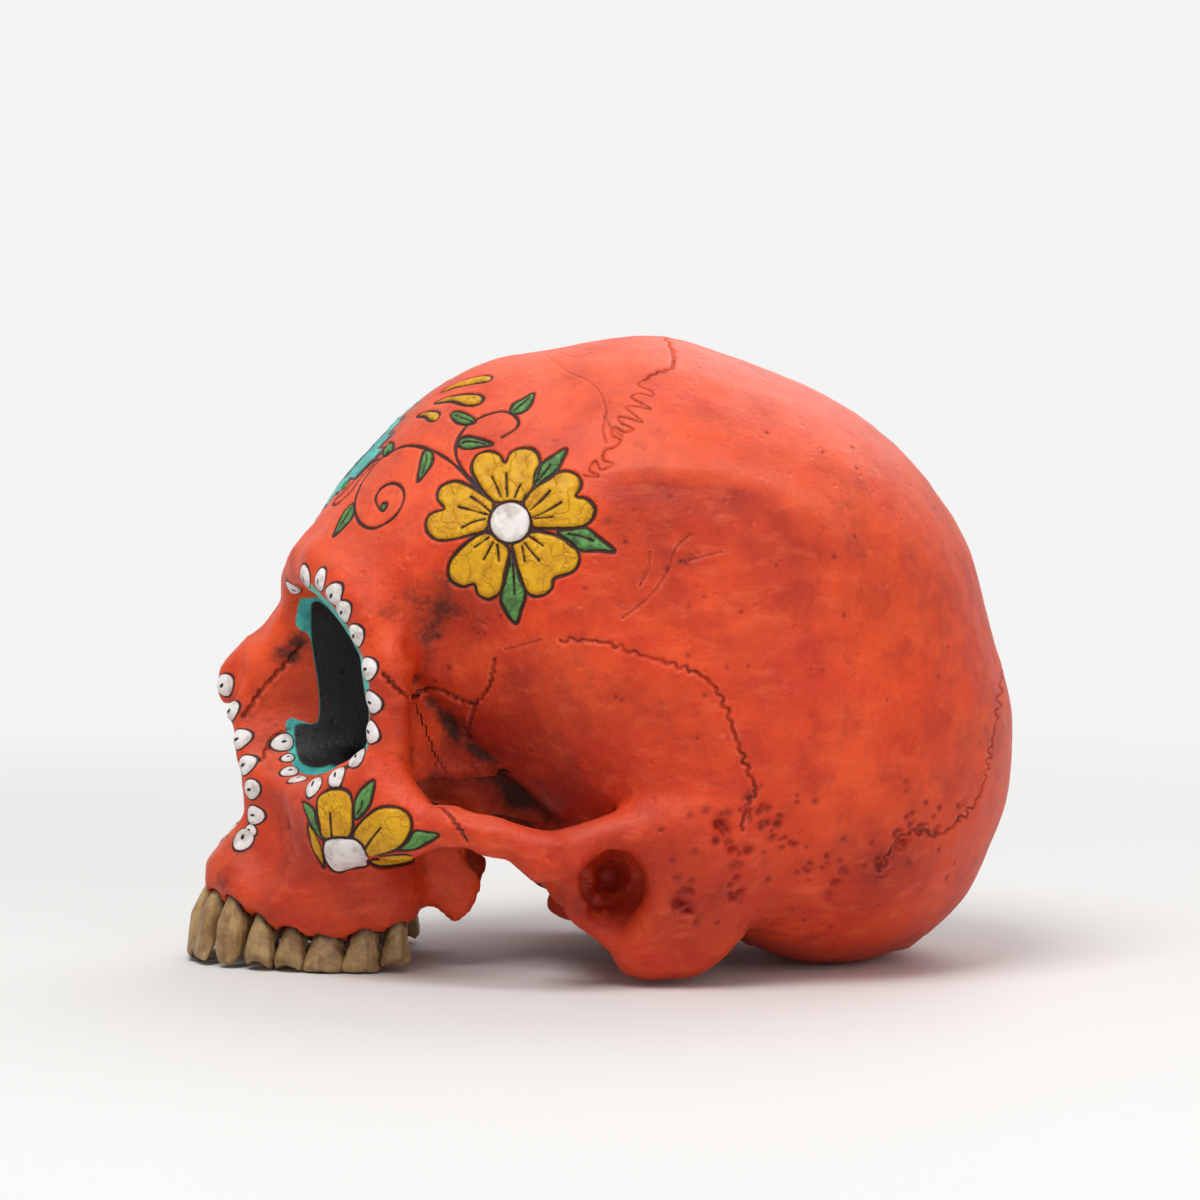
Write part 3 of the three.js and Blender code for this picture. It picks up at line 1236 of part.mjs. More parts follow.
function temporalRegion(side) {
  const edge = [...squamosal, ...occipitomastoid.slice(1), at2(last(occipitomastoid).x, BOTTOM)];
  edge.push(at2(last(sphenosquamosal).x, BOTTOM), ...backwards(sphenosquamosal, 0, -1));
  const wall = sidePrism(edge).intersect(between(temporalInnerX, OUTSIDE, side));
  const strut = [...archSeam, at2(last(archSeam).x, BOTTOM), at2(0, BOTTOM)];
  strut.push(at2(0, archTopZ), at2(archSeam[0].x, archTopZ));
  return wall.add(sidePrism(strut).intersect(outsideArch(side)));
}

function zygomaticRegion(side) {
  const [, , browFoot] = browSeam;
  const body = [...browSeam.slice(0, 3), at2(FRONT, browFoot.y), at2(FRONT, BOTTOM)];
  body.push(at2(last(wingFront).x, BOTTOM), ...backwards(wingFront, 0, -1));
  const cheek = [...cheekSeam, at2(last(cheekSeam).x, BOTTOM), at2(OUTSIDE, BOTTOM)];
  cheek.push(at2(OUTSIDE, TOP), at2(cheekSeam[0].x, TOP));
  const main = sidePrism(body).intersect(frontPrism(mirrored(cheek, side)));
  const strut = [...archSeam, at2(last(archSeam).x, BOTTOM), at2(browFoot.x, BOTTOM)];
  strut.push(at2(browFoot.x, archTopZ), at2(archSeam[0].x, archTopZ));
  return main.add(sidePrism(strut).intersect(outsideArch(side)));
}

function sphenoidRegion() {
  const wing = [...backwards(sphenofrontal), ...sphenosquamosal.slice(1)];
  wing.push(at2(last(sphenosquamosal).x, BOTTOM), at2(last(wingFront).x, BOTTOM));
  wing.push(...backwards(wingFront, 0, -1));
  const inside = [at2(archInside[0].x, FRONT), ...archInside];
  inside.push(...backwards(mirrored(inside, -1)));
  const aboveArch = rectangle(-OUTSIDE, archTopZ - SUTURE_GAP, OUTSIDE, TOP);
  const high = sidePrism(wing).intersect(frontPrism(aboveArch));
  const low = sidePrism(wing).intersect(topPrism(inside));
  const body = rectangle(clivusFrontY, BOTTOM, basilarSeam.y, basilarSeam.z);
  const clivus = sidePrism(body).intersect(between(-temporalInnerX, temporalInnerX, 1));
  return high.add(low).add(clivus);
}

function nasalRegion(side, growth) {
  const [foot] = nasalSeam;
  const [, , , innerBrow] = browSeam;
  const outline = [at2(0, TOP), at2(last(nasalSeam).x, TOP), ...backwards(nasalSeam), at2(0, foot.y)];
  const sideOutline = [at2(FRONT, last(browSeam).y), last(browSeam), innerBrow];
  sideOutline.push(at2(innerBrow.x, foot.y), at2(FRONT, foot.y));
  return frontPrism(mirrored(outline, side), growth).intersect(sidePrism(sideOutline, growth));
}

function lacrimalRegion(side) {
  return sidePrism(lacrimalOutline).intersect(between(lacrimalInnerX, cheekSeam[0].x, side));
}

function ethmoidRegion() {
  const outerX = cheekSeam[0].x;
  const labyrinth = sidePrism(ethmoidOutline).intersect(between(-outerX, outerX, 1));
  const front = sidePrism(lacrimalOutline).intersect(between(-lacrimalInnerX, lacrimalInnerX, 1));
  return labyrinth.add(front);
}

function palatineRegion(side, growth) {
  return sidePrism(palatineOutline, growth).intersect(between(0, palatineOuterX, side, growth));
}

function maxillaRegion(side) {
  const [lacrimalTop, , lacrimalBack, lacrimalFoot] = lacrimalOutline;
  const [, , , ethmoidBack, ethmoidFoot] = ethmoidOutline;
  const edge = [at2(FRONT, last(browSeam).y), last(browSeam), lacrimalTop, lacrimalFoot];
  edge.push(lacrimalBack, ethmoidFoot, ethmoidBack, at2(ethmoidBack.x, BOTTOM), at2(FRONT, BOTTOM));
  const outline = [at2(0, TOP), at2(cheekSeam[0].x, TOP), ...cheekSeam];
  outline.push(at2(last(cheekSeam).x, BOTTOM), at2(0, BOTTOM));
  const region = sidePrism(edge).intersect(frontPrism(mirrored(outline, side)));
  return region.subtract(nasalRegion(side, 1)).subtract(palatineRegion(side, 1));
}

// The thin bones inside the nose

function vomer(growth) {
  const half = VOMER_THICKNESS / 2 + growth;
  const grownOutline = inset(sideLine(VOMER_SHARES), (2 * growth) / SUTURE_GAP);
  return prism(grownOutline, -half, half, SIDE_TURN);
}

// A shelf that stands out from the side wall of the nose and rolls under at its free edge
function concha(side, growth) {
  const centre = place(CONCHA_SHARE);
  const half = CONCHA_THICKNESS / 2 + growth;
  const ring = (radius) => [...Array(CONCHA_STEPS + 1).keys()].map((k) => {
    const turn = CONCHA_START + ((CONCHA_END - CONCHA_START) * k) / CONCHA_STEPS;
    return at2(centre.x + radius * Math.cos(turn), centre.z + radius * Math.sin(turn));
  });
  const roll = [...ring(CONCHA_ROLL_RADIUS + half), ...ring(CONCHA_ROLL_RADIUS - half).reverse()];
  const tabStart = centre.x + CONCHA_ROLL_RADIUS - half;
  const tabEnd = centre.x + CONCHA_TAB_REACH + growth;
  const tab = rectangle(tabStart, centre.z - half, tabEnd, centre.z + half);
  const from = CONCHA_BACK_GAP - palatineOutline[0].x - growth;
  const to = -centre.y + growth;
  const solid = (outline) => prism(ccwOutline(mirrored(outline, side)), from, to, FRONT_TURN);
  return solid(roll).add(solid(tab));
}

// Teeth

// A rounded-square ring of points round the axis of a tooth, with its cusps
function toothRing(row, down, halfBreadth, halfDepth, cuspShare) {
  const power = TOOTH_SQUARENESS;
  const firstCusp = row.cusps === 4 ? Math.PI : 0;
  return [...Array(TOOTH_SIDES).keys()].map((k) => {
    const turn = (k / TOOTH_SIDES) * FULL_TURN;
    const c = Math.cos(turn);
    const s = Math.sin(turn);
    const reach = 1 / Math.pow(Math.abs(c) ** power + Math.abs(s) ** power, 1 / power);
    const cusp = CUSP_HEIGHT * cuspShare * Math.cos(row.cusps * turn + firstCusp);
    return new Vector3(c * reach * halfBreadth, s * reach * halfDepth, -down - cusp);
  });
}

// The room that a tooth has in the row, half-way to its neighbours on both sides
function roomOf(row) {
  const index = TEETH.indexOf(row);
  const here = place(row.neckShare);
  const before = index === 0 ? here.clone().setX(-here.x) : place(TEETH[index - 1].neckShare);
  const beyond = here.clone().multiplyScalar(2).sub(before);
  const after = index + 1 < TEETH.length ? place(TEETH[index + 1].neckShare) : beyond;
  return (here.distanceTo(before) + here.distanceTo(after)) / 2;
}

function toothSkin(row, side, growth) {
  const neck = place(row.neckShare);
  const axis = place(row.tipShare).sub(neck);
  const crown = axis.length();
  const root = row.rootShare * TOOTH_ROOT;
  const room = roomOf(row);
  const sections = TOOTH_PROFILE_SHARES[row.shape];
  const points = sections.flatMap(([along, breadth, depth, cusp]) => {
    const run = along < 0 ? along * root - growth : along * crown;
    const halfBreadth = (row.breadthShare * room * breadth) / 2 + growth;
    const halfDepth = (row.depthShare * TOOTH_DEPTH * depth) / 2 + growth;
    return toothRing(row, run, halfBreadth, halfDepth, cusp);
  });
  points.push(new Vector3(0, 0, root + growth * 2), new Vector3(0, 0, -crown * last(sections)[0]));
  const down = axis.normalize();
  const up = down.clone().negate();
  const along = new Vector3(Math.cos(row.turn), Math.sin(row.turn), 0);
  const out = new Vector3().crossVectors(up, along).normalize();
  along.crossVectors(out, up);
  const frame = new Matrix4().makeBasis(along, out, up).setPosition(neck);
  const mirror = new Matrix4().makeScale(side, 1, 1);
  points.forEach((p) => p.applyMatrix4(frame).applyMatrix4(mirror));
  return { points: points.flatMap((p) => p.toArray()), triangles: tubeTriangles(sections.length, side) };
}

// Triangles of a stack of rings from the first (top) to the last, closed by a fan at both ends
function tubeTriangles(rings, side) {
  const triangles = [];
  const tip = rings * TOOTH_SIDES;
  const push = (a, b, c) => (side > 0 ? triangles.push(a, b, c) : triangles.push(a, c, b));
  for (let k = 0; k < TOOTH_SIDES; k++) {
    const next = (k + 1) % TOOTH_SIDES;
    push(tip, k, next);
    push(tip + 1, (rings - 1) * TOOTH_SIDES + next, (rings - 1) * TOOTH_SIDES + k);
    for (let r = 0; r + 1 < rings; r++) {
      const a = r * TOOTH_SIDES;
      const b = a + TOOTH_SIDES;
      push(a + k, b + k, b + next);
      push(a + k, b + next, a + next);
    }
  }
  return triangles;
}

// Putting it together

const group = new THREE.Group();
group.name = "sugar_skull";

function addMesh(name, solid, colour, roughness) {
  const { points, triangles } = mainBody(solid);
  const geometry = new THREE.BufferGeometry();
  geometry.setAttribute("position", new THREE.Float32BufferAttribute(points, 3));
  geometry.setIndex(triangles);
  geometry.computeVertexNormals();
  const paint = new THREE.MeshStandardMaterial({ color: colour, roughness, metalness: 0 });
  const mesh = new THREE.Mesh(geometry, paint);
  mesh.name = name;
  group.add(mesh);
}

function addBone(name, solid) {
  addMesh(name, solid, BONE_COLOUR, BONE_ROUGHNESS);
}

const low = new Vector3(-SKULL_BREADTH / 2, -SKULL_LENGTH / 2, 0).addScalar(-GRID_MARGIN);
const high = new Vector3(SKULL_BREADTH / 2, SKULL_LENGTH / 2, SKULL_HEIGHT).addScalar(GRID_MARGIN);
const skin = drawSkin(skullField, low, high);
for (let pass = 0; pass < SETTLE_PASSES; pass++) settleSkin(skin, skullField);
const slab = new THREE.BoxGeometry(REACH * 2, REACH * 2, OVERRUN);
const table = solidFromGeometry(slab.translate(0, 0, -OVERRUN / 2));
const whole = solidFromSkin(thinOut(skin, SKIN_TRIANGLES, Infinity)).subtract(table);

const SIDES = [["left", 1], ["right", -1]];
const septum = vomer(0);
const septumGroove = vomer(INNER_CLEARANCE);
addBone("frontal_bone", whole.intersect(frontalRegion()));
addBone("occipital_bone", whole.intersect(occipitalRegion()));
addBone("sphenoid_bone", whole.intersect(sphenoidRegion()).subtract(septumGroove));
addBone("ethmoid_bone", whole.intersect(ethmoidRegion()).subtract(septumGroove));
addBone("vomer", septum);
for (const [word, side] of SIDES) {
  addBone(`parietal_bone_${word}`, whole.intersect(parietalRegion(side)));
  addBone(`temporal_bone_${word}`, whole.intersect(temporalRegion(side)));
  addBone(`zygomatic_bone_${word}`, whole.intersect(zygomaticRegion(side)));
  addBone(`nasal_bone_${word}`, whole.intersect(nasalRegion(side, -1)));
  addBone(`lacrimal_bone_${word}`, whole.intersect(lacrimalRegion(side)));
  addBone(`palatine_bone_${word}`, whole.intersect(palatineRegion(side, -1)).subtract(septumGroove));
  addBone(`inferior_concha_${word}`, concha(side, 0));
  let maxilla = whole.intersect(maxillaRegion(side));
  maxilla = maxilla.subtract(septumGroove).subtract(concha(side, INNER_CLEARANCE));
  for (const row of TEETH) {
    maxilla = maxilla.subtract(solidFromSkin(toothSkin(row, side, SOCKET_CLEARANCE)));
    const tooth = solidFromSkin(toothSkin(row, side, 0)).subtract(table);
    addMesh(`${row.name}_${word}`, tooth, TOOTH_COLOUR, TOOTH_ROUGHNESS);
  }
  addBone(`maxilla_${word}`, maxilla);
}

// The origin is the middle of the skull's footprint, on the table
const box = new THREE.Box3().setFromObject(group);
const centre = box.getCenter(new Vector3());
for (const mesh of group.children) mesh.geometry.translate(-centre.x, -centre.y, -box.min.z);

export default group;
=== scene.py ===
# %% [markdown]
# # A painted skull for the Day of the Dead
# The object is a life-size cast of a skull without its lower jaw, painted orange-red, with engraved
# and painted flowers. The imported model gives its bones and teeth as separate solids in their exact
# places. This lesson turns them into what the eye sees: one smooth skin with fine engraving, split
# again into its bones, then teeth, paint and light.

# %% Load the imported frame
import math
from functools import partial
import bmesh
import bpy
import numpy as np
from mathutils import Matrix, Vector, noise
from mathutils.bvhtree import BVHTree
from mathutils.kdtree import KDTree


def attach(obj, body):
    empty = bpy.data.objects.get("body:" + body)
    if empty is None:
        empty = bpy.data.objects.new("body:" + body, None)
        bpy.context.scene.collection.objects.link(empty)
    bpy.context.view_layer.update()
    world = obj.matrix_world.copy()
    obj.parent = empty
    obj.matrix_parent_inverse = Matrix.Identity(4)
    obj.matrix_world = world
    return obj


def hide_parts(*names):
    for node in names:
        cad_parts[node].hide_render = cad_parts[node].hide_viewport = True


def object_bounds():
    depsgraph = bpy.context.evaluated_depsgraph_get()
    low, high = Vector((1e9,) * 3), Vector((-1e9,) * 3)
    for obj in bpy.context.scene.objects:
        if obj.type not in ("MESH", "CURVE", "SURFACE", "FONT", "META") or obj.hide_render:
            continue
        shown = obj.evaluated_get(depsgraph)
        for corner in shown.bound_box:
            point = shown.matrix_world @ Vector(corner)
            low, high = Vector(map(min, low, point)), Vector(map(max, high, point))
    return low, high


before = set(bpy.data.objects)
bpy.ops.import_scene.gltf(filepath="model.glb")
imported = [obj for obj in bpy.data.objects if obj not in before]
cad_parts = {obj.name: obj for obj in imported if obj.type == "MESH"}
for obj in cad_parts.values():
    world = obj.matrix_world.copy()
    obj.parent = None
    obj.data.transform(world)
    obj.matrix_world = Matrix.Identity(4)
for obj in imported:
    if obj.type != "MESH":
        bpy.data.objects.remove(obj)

cad_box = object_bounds()
noise.seed_set(7)  # noise_vector starts from this seed, so every run gives the same result
MM = 0.001
LIMIT = 3.0  # distances on the skin are kept up to this many mm
FAR_OFF = 99.0  # stands for a distance that was not measured
print("nodes in the frame:", len(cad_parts))

# %% [markdown]
# ## The camera
# The photograph looks level at the left side of the skull, a little from above. Its place was found
# by matching the outline of the solids to the outline in the photograph. The same numbers serve
# twice: for Blender's camera, and for laying a drawing made in photograph pixels on to the skin.

# %% Camera
CAMERA_X, CAMERA_Z, PITCH = 1100.0, 146.2, math.radians(3.0)
FOCAL, MIDDLE = 4460.0, 600.0
PICTURE = 1200.0


def linked(title, data):
    """A new object in the scene."""
    obj = bpy.data.objects.new(title, data)
    bpy.context.scene.collection.objects.link(obj)
    return obj


camera_data = bpy.data.cameras.new("side_camera")
camera_data.sensor_width = 36.0
camera_data.lens = FOCAL / PICTURE * camera_data.sensor_width
camera_data.clip_end = 20.0
camera = linked("side_camera", camera_data)
camera.location = (CAMERA_X * MM, 0.0, CAMERA_Z * MM)
camera.rotation_euler = (math.radians(90.0) - PITCH, 0.0, math.radians(90.0))
bpy.context.scene.camera = camera


def seen(points):
    """Picture coordinates of points in millimetres."""
    x, y, z = points[..., 0], points[..., 1], points[..., 2]
    depth = (CAMERA_X - x) * math.cos(PITCH) + (CAMERA_Z - z) * math.sin(PITCH)
    down = (CAMERA_Z - z) * math.cos(PITCH) - (CAMERA_X - x) * math.sin(PITCH)
    return np.stack((MIDDLE + FOCAL * y / depth, MIDDLE + FOCAL * down / depth), axis=-1)


def ray(px, py):
    """Start and direction, in millimetres, of the sight line through a picture point."""
    right, down = (px - MIDDLE) / FOCAL, (py - MIDDLE) / FOCAL
    c, s = math.cos(PITCH), math.sin(PITCH)
    way = Vector((-c + down * s, right, -s - down * c))
    return Vector((CAMERA_X, 0.0, CAMERA_Z)), way.normalized()


print("camera", tuple(round(v, 3) for v in camera.location), "lens", round(camera_data.lens, 1))

# %% [markdown]
# ## Small helpers
# Some steps come back for every piece: to select, to run a modifier, to read the points of a mesh, to
# look for the nearest of many points. Each is written once here.

# %% Helpers that work as by hand
INNER = {"vomer", "inferior_concha_left", "inferior_concha_right"}
TEETH = sorted(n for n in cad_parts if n.rsplit("_", 1)[0].endswith(("incisor", "canine", "molar")))
BONES = sorted(set(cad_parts) - set(TEETH) - INNER)


def mode(word):
    bpy.ops.object.mode_set(mode=word)


def only(obj):
    """Selects one object and nothing else."""
    if bpy.context.object and bpy.context.object.mode != "OBJECT":
        mode("OBJECT")
    bpy.ops.object.select_all(action="DESELECT")
    obj.select_set(True)
    bpy.context.view_layer.objects.active = obj


def modify(obj, kind, **values):
    """Adds a modifier, sets it and applies it."""
    only(obj)
    bpy.ops.object.modifier_add(type=kind)
    modifier = obj.modifiers[-1]
    for key, value in values.items():
        setattr(modifier, key, value)
    bpy.ops.object.modifier_apply(modifier=modifier.name)


def remesh(obj, cell):
    """Melts an object into one closed skin of even cells, sized in millimetres."""
    modify(obj, "REMESH", mode="VOXEL", voxel_size=cell * MM, adaptivity=0.0)


def soften(obj, rounds, **values):
    modify(obj, "SMOOTH", factor=0.5, iterations=rounds, **values)


def joined(objects):
    """Joins objects into the first of them."""
    only(objects[0])
    for obj in objects:
        obj.select_set(True)
    if len(objects) > 1:
        bpy.ops.object.join()
    return objects[0]


def copied(names, title):
    """A new object of joined, merged copies of CAD nodes."""
    made = joined([linked(f"{title}_{name}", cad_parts[name].data.copy()) for name in names])
    made.name = title
    made.data.materials.clear()
    mode("EDIT")
    bpy.ops.mesh.select_all(action="SELECT")
    bpy.ops.mesh.remove_doubles(threshold=0.02 * MM)
    mode("OBJECT")
    return made


def dressed(obj, material):
    """Gives an object its material and smooth shading."""
    obj.data.materials.append(material)
    only(obj)
    bpy.ops.object.shade_smooth()


def read(rows, key):
    """A vector of each vertex or face, as rows of numbers."""
    data = np.empty(len(rows) * 3, np.float32)
    rows.foreach_get(key, data)
    return data.reshape(-1, 3).astype(np.float64)


def places(obj):
    """The vertices of a mesh in millimetres."""
    return read(obj.data.vertices, "co") / MM


def normals(obj):
    return read(obj.data.vertex_normals, "vector")


def middles(obj):
    """The middles of the faces in millimetres."""
    return read(obj.data.polygons, "center") / MM


def move_to(obj, points):
    obj.data.vertices.foreach_set("co", (points * MM).astype(np.float32).ravel())
    obj.data.update()


def store(obj, title, values):
    """Keeps one number per vertex in the mesh, for a material to read."""
    layer = obj.data.attributes.new(title, "FLOAT", "POINT")
    layer.data.foreach_set("value", values.astype(np.float32))


def ease(t):
    """A smooth step from 0 to 1."""
    t = np.clip(t, 0.0, 1.0)
    return t * t * (3.0 - 2.0 * t)


def bell(t):
    """1 in the middle, fading out on both sides."""
    return np.exp(-t ** 2)


def ripples(rows, scale, shift=(0.0, 0.0, 0.0)):
    """Smooth noise, from about -1 to 1, at each of many points."""
    return np.array([noise.noise(Vector(p) * scale + Vector(shift)) for p in rows])


def tree_of(rows):
    """A tree of points, to find the nearest in."""
    made = KDTree(len(rows))
    for index, row in enumerate(rows):
        made.insert(Vector(row), index)
    made.balance()
    return made


def near_to(tree, rows, reach):
    """Distance and index of the nearest tree point, for points within a reach."""
    far = np.full(len(rows), FAR_OFF)
    which = np.zeros(len(rows), int)
    for i, row in enumerate(rows):
        _, index, distance = tree.find(Vector(row))
        if distance < reach:
            far[i], which[i] = distance, index
    return far, which


def within(rows, low, high):
    """Which points lie inside a box."""
    return ((rows > low) & (rows < high)).all(axis=1)


print(len(BONES), "outer bones,", len(TEETH), "teeth,", len(INNER), "inner bones")

# %% [markdown]
# ## One skin over all bones
# The cast was poured in one piece, so its surface runs on across the seams of the bones. A copy of
# all outer bones is joined, its loose triangles are merged, and a voxel remesh melts it into one
# closed skin of even cells. Two thin plates join in: they close the side of each orbit, which is open
# in the solids. Smoothing then takes away the flat facets, strongly on the braincase and only lightly
# on the face, where the forms are small.

# %% Remesh and smooth
SKIN_CELL = 1.25
WALL_START = np.array([  # the wall's edge at the cheekbone, from the lowest point up
    (43.5, -48.5, 47.0), (44.5, -49.0, 50.5), (46.5, -49.5, 56.0), (48.0, -49.5, 62.0),
    (48.5, -50.0, 68.0), (48.5, -50.5, 74.0)])
WALL_END = np.array([  # and its edge at the braincase
    (29.0, -24.0, 47.0), (30.0, -26.0, 50.5), (31.0, -31.5, 56.0), (34.0, -36.5, 62.0),
    (38.0, -42.0, 68.0), (42.0, -48.5, 74.0)])
WALL_THICK, WALL_COLUMNS, WALL_ROWS = 2.6, 12, 11
LIVELY_ROUNDS, CALM_ROUNDS = 7, 34


def edge_at(edge, heights):
    """Points of an edge of the wall at some heights."""
    return np.stack([np.interp(heights, edge[:, 2], edge[:, k]) for k in range(3)], axis=-1)


def orbit_wall(hand):
    """The thin side wall of an orbit, from the cheekbone back to the braincase."""
    rows = []
    for height in np.linspace(WALL_START[0, 2], WALL_START[-1, 2], WALL_ROWS):
        start, end = edge_at(WALL_START, height), edge_at(WALL_END, height)
        rows += [start + (end - start) * t for t in np.linspace(0.0, 1.0, WALL_COLUMNS)]
    rows = np.array(rows) * (hand, 1.0, 1.0) * MM
    faces = [(i, i + 1, i + 1 + WALL_COLUMNS, i + WALL_COLUMNS)
             for i in range(len(rows) - WALL_COLUMNS) if (i + 1) % WALL_COLUMNS]
    mesh = bpy.data.meshes.new("orbit_wall")
    mesh.from_pydata([tuple(row) for row in rows], [], faces)
    plate = linked("orbit_wall", mesh)
    modify(plate, "SOLIDIFY", thickness=WALL_THICK * MM, offset=0.0)
    return plate


def weigh(obj, title, weights, steps=20):
    """A vertex group from an array of weights, in even steps."""
    group = obj.vertex_groups.new(name=title)
    rounded = np.round(weights * steps).astype(int)
    for step in range(1, steps + 1):
        found = np.nonzero(rounded == step)[0].tolist()
        if found:
            group.add(found, step / steps, "REPLACE")


skin = joined([copied(BONES, "skin"), orbit_wall(1.0), orbit_wall(-1.0)])
remesh(skin, SKIN_CELL)
_, y, z = places(skin).T
on_braincase = ease((y + 66) / 14) * ease((z - 44 + 0.55 * np.clip(y, -60, 40)) / 24)
weigh(skin, "calm", np.maximum(on_braincase, ease((y - 22) / 14)))
weigh(skin, "lively", 1.0 - ease((12 - z) / 8) * ease((-30 - y) / 10) * 0.7)
soften(skin, LIVELY_ROUNDS, vertex_group="lively")
soften(skin, CALM_ROUNDS, vertex_group="calm")
print("skin:", len(skin.data.vertices), "vertices")

# %% [markdown]
# ## Small corrections of form
# Some places of the cast are softer, deeper or higher than the solids: the outer rim of the orbit
# stands further forward, the ear lies in a wide hollow, the cheek arch curves up. A soft push moves
# the skin there, strongest in the middle and fading out at its edge, on both sides alike, as with a
# grab brush.

# %% Soft pushes
PUSHES = [  # centre, radius and shift in mm, on the left side
    ((45, -54, 68), 17, (0.3, -2.6, 0)), ((40, -60, 52), 11, (0, -1.6, 0.4)),
    ((62, 6, 25), 13, (-4.2, 0, 0)), ((61, 4, 17), 9, (-3.0, -0.5, 0)),
    ((46, -23, 41), 14, (2.0, 0, -4.2)), ((3, -92, 66), 9, (0, -0.6, -3.0)),
    ((60, -34, 34), 13, (0, 0, 3.0)), ((62, -23, 34), 13, (0, 0, 3.4)),
    ((51, -38, 84), 15, (-2.2, 1.0, 0)), ((58, -18, 92), 22, (-1.0, 0, 0)),
    ((66, 12, 96), 24, (-1.2, 0, 0)), ((66, 38, 92), 22, (-1.0, 0, 0)),
]
before = places(skin)
after = before.copy()
for centre, radius, shift in PUSHES:
    for flip in (np.array((1.0, 1.0, 1.0)), np.array((-1.0, 1.0, 1.0))):
        far = np.linalg.norm(before - centre * flip, axis=1)
        after += ease(1.0 - far / radius)[:, None] * (shift * flip)
move_to(skin, after)
print(len(PUSHES), "pushes on each side")

# %% [markdown]
# ## Laying a drawing on the skin
# The ornament was drawn with a brush and a graver on the cast. Each line is written here as a few
# points in photograph pixels. A sight line through each point finds its place on the left side of
# the skin; the right side gets the mirror image. From then on every width is measured on the skin
# itself, in millimetres, so a line does not grow thin or wide where the forehead turns away.

# %% Curves and sight lines
skin_tree = BVHTree.FromPolygons(
    [Vector(p) for p in places(skin)], [tuple(p.vertices) for p in skin.data.polygons])


def curve(controls, closed=False, step=2.0):
    """A smooth curve through control points, in even steps of the picture."""
    pts = np.array(controls, float)
    count = len(pts)
    out = []
    for i in range(count if closed else count - 1):
        p0, p1, p2, p3 = (pts[k % count if closed else min(max(k, 0), count - 1)]
                          for k in range(i - 1, i + 3))
        parts = max(2, int(np.linalg.norm(p2 - p1) / step))
        for t in np.arange(parts) / parts:
            out.append(0.5 * (2 * p1 + (p2 - p0) * t + (2 * p0 - 5 * p1 + 4 * p2 - p3) * t * t
                              + (3 * p1 - p0 - 3 * p2 + p3) * t ** 3))
    if not closed:
        out.append(pts[-1])
    return np.array(out)


def on_skin(px, py, guess_x):
    """The place on the left side of the skin that shows at a picture point."""
    start, way = ray(px, py)
    hit = skin_tree.ray_cast(start, way)[0]
    if hit is not None and hit.x > 0:
        return np.array(hit)
    near = start + way * ((CAMERA_X - guess_x) / -way.x)
    near = skin_tree.find_nearest(near)[0]
    return np.array((abs(near.x), near.y, near.z))


def laid(line, guess_x):
    return np.array([on_skin(px, py, guess_x) for px, py in line])


def inside(polygon, points):
    """Which picture points lie inside a closed line."""
    found = np.zeros(len(points), bool)
    px, py = points[:, 0], points[:, 1]
    for (ax, ay), (bx, by) in zip(polygon, np.roll(polygon, -1, axis=0)):
        crosses = (ay > py) != (by > py)
        with np.errstate(divide="ignore", invalid="ignore"):
            found ^= crosses & (px < (bx - ax) * (py - ay) / (by - ay) + ax)
    return found


def crop(x0, y0, scale, *numbers):
    """Picture points read in an enlarged part of it, written as x, y, x, y and so on."""
    return np.array((x0, y0)) + np.reshape(numbers, (-1, 2)) / scale


side = partial(crop, 310, 370, 4.7515)
cheek = partial(crop, 200, 540, 4.612)
face = partial(crop, 180, 540, 2.2706)
whole = partial(crop, 0, 0, 1.0)
print("sight line through the middle meets the skin at", on_skin(600, 700, 12.0).round(1))

# %% [markdown]
# ## The ornament, line by line
# A five-petalled flower with leaves, drops and curling vines lies on the temple and forehead. A half
# flower lies on the cheek, and white beads ring the orbit and the nose.

# %% The flower on the temple, its leaves and its vines
PETALS = [
    side(872, 622, 810, 560, 765, 470, 788, 405, 845, 385, 895, 400, 925, 437, 950, 392, 1000, 368, 1062,
        376, 1090, 425, 1080, 500, 1045, 570, 1002, 624),
    side(1012, 622, 1062, 560, 1130, 505, 1200, 475, 1265, 492, 1287, 545, 1262, 597, 1312, 610, 1352, 655,
        1340, 710, 1290, 745, 1200, 752, 1110, 752, 1050, 742),
    side(1048, 768, 1130, 775, 1210, 805, 1265, 850, 1278, 910, 1245, 960, 1160, 990, 1145, 1040, 1100,
        1072, 1045, 1070, 1005, 1020, 985, 950, 968, 870, 962, 828),
    side(930, 832, 945, 885, 932, 960, 905, 1050, 850, 1090, 797, 1070, 778, 1020, 720, 1030, 665, 995, 660,
        930, 700, 865, 770, 805, 842, 772),
    side(838, 762, 770, 785, 680, 805, 600, 805, 552, 765, 550, 710, 580, 675, 632, 655, 602, 610, 615, 555,
        680, 525, 750, 545, 820, 590, 870, 632),
]
DISC = [(509.6 + 20.8 * math.cos(a), 522.0 + 21.2 * math.sin(a)) for a in np.linspace(0, 6.0, 14)]
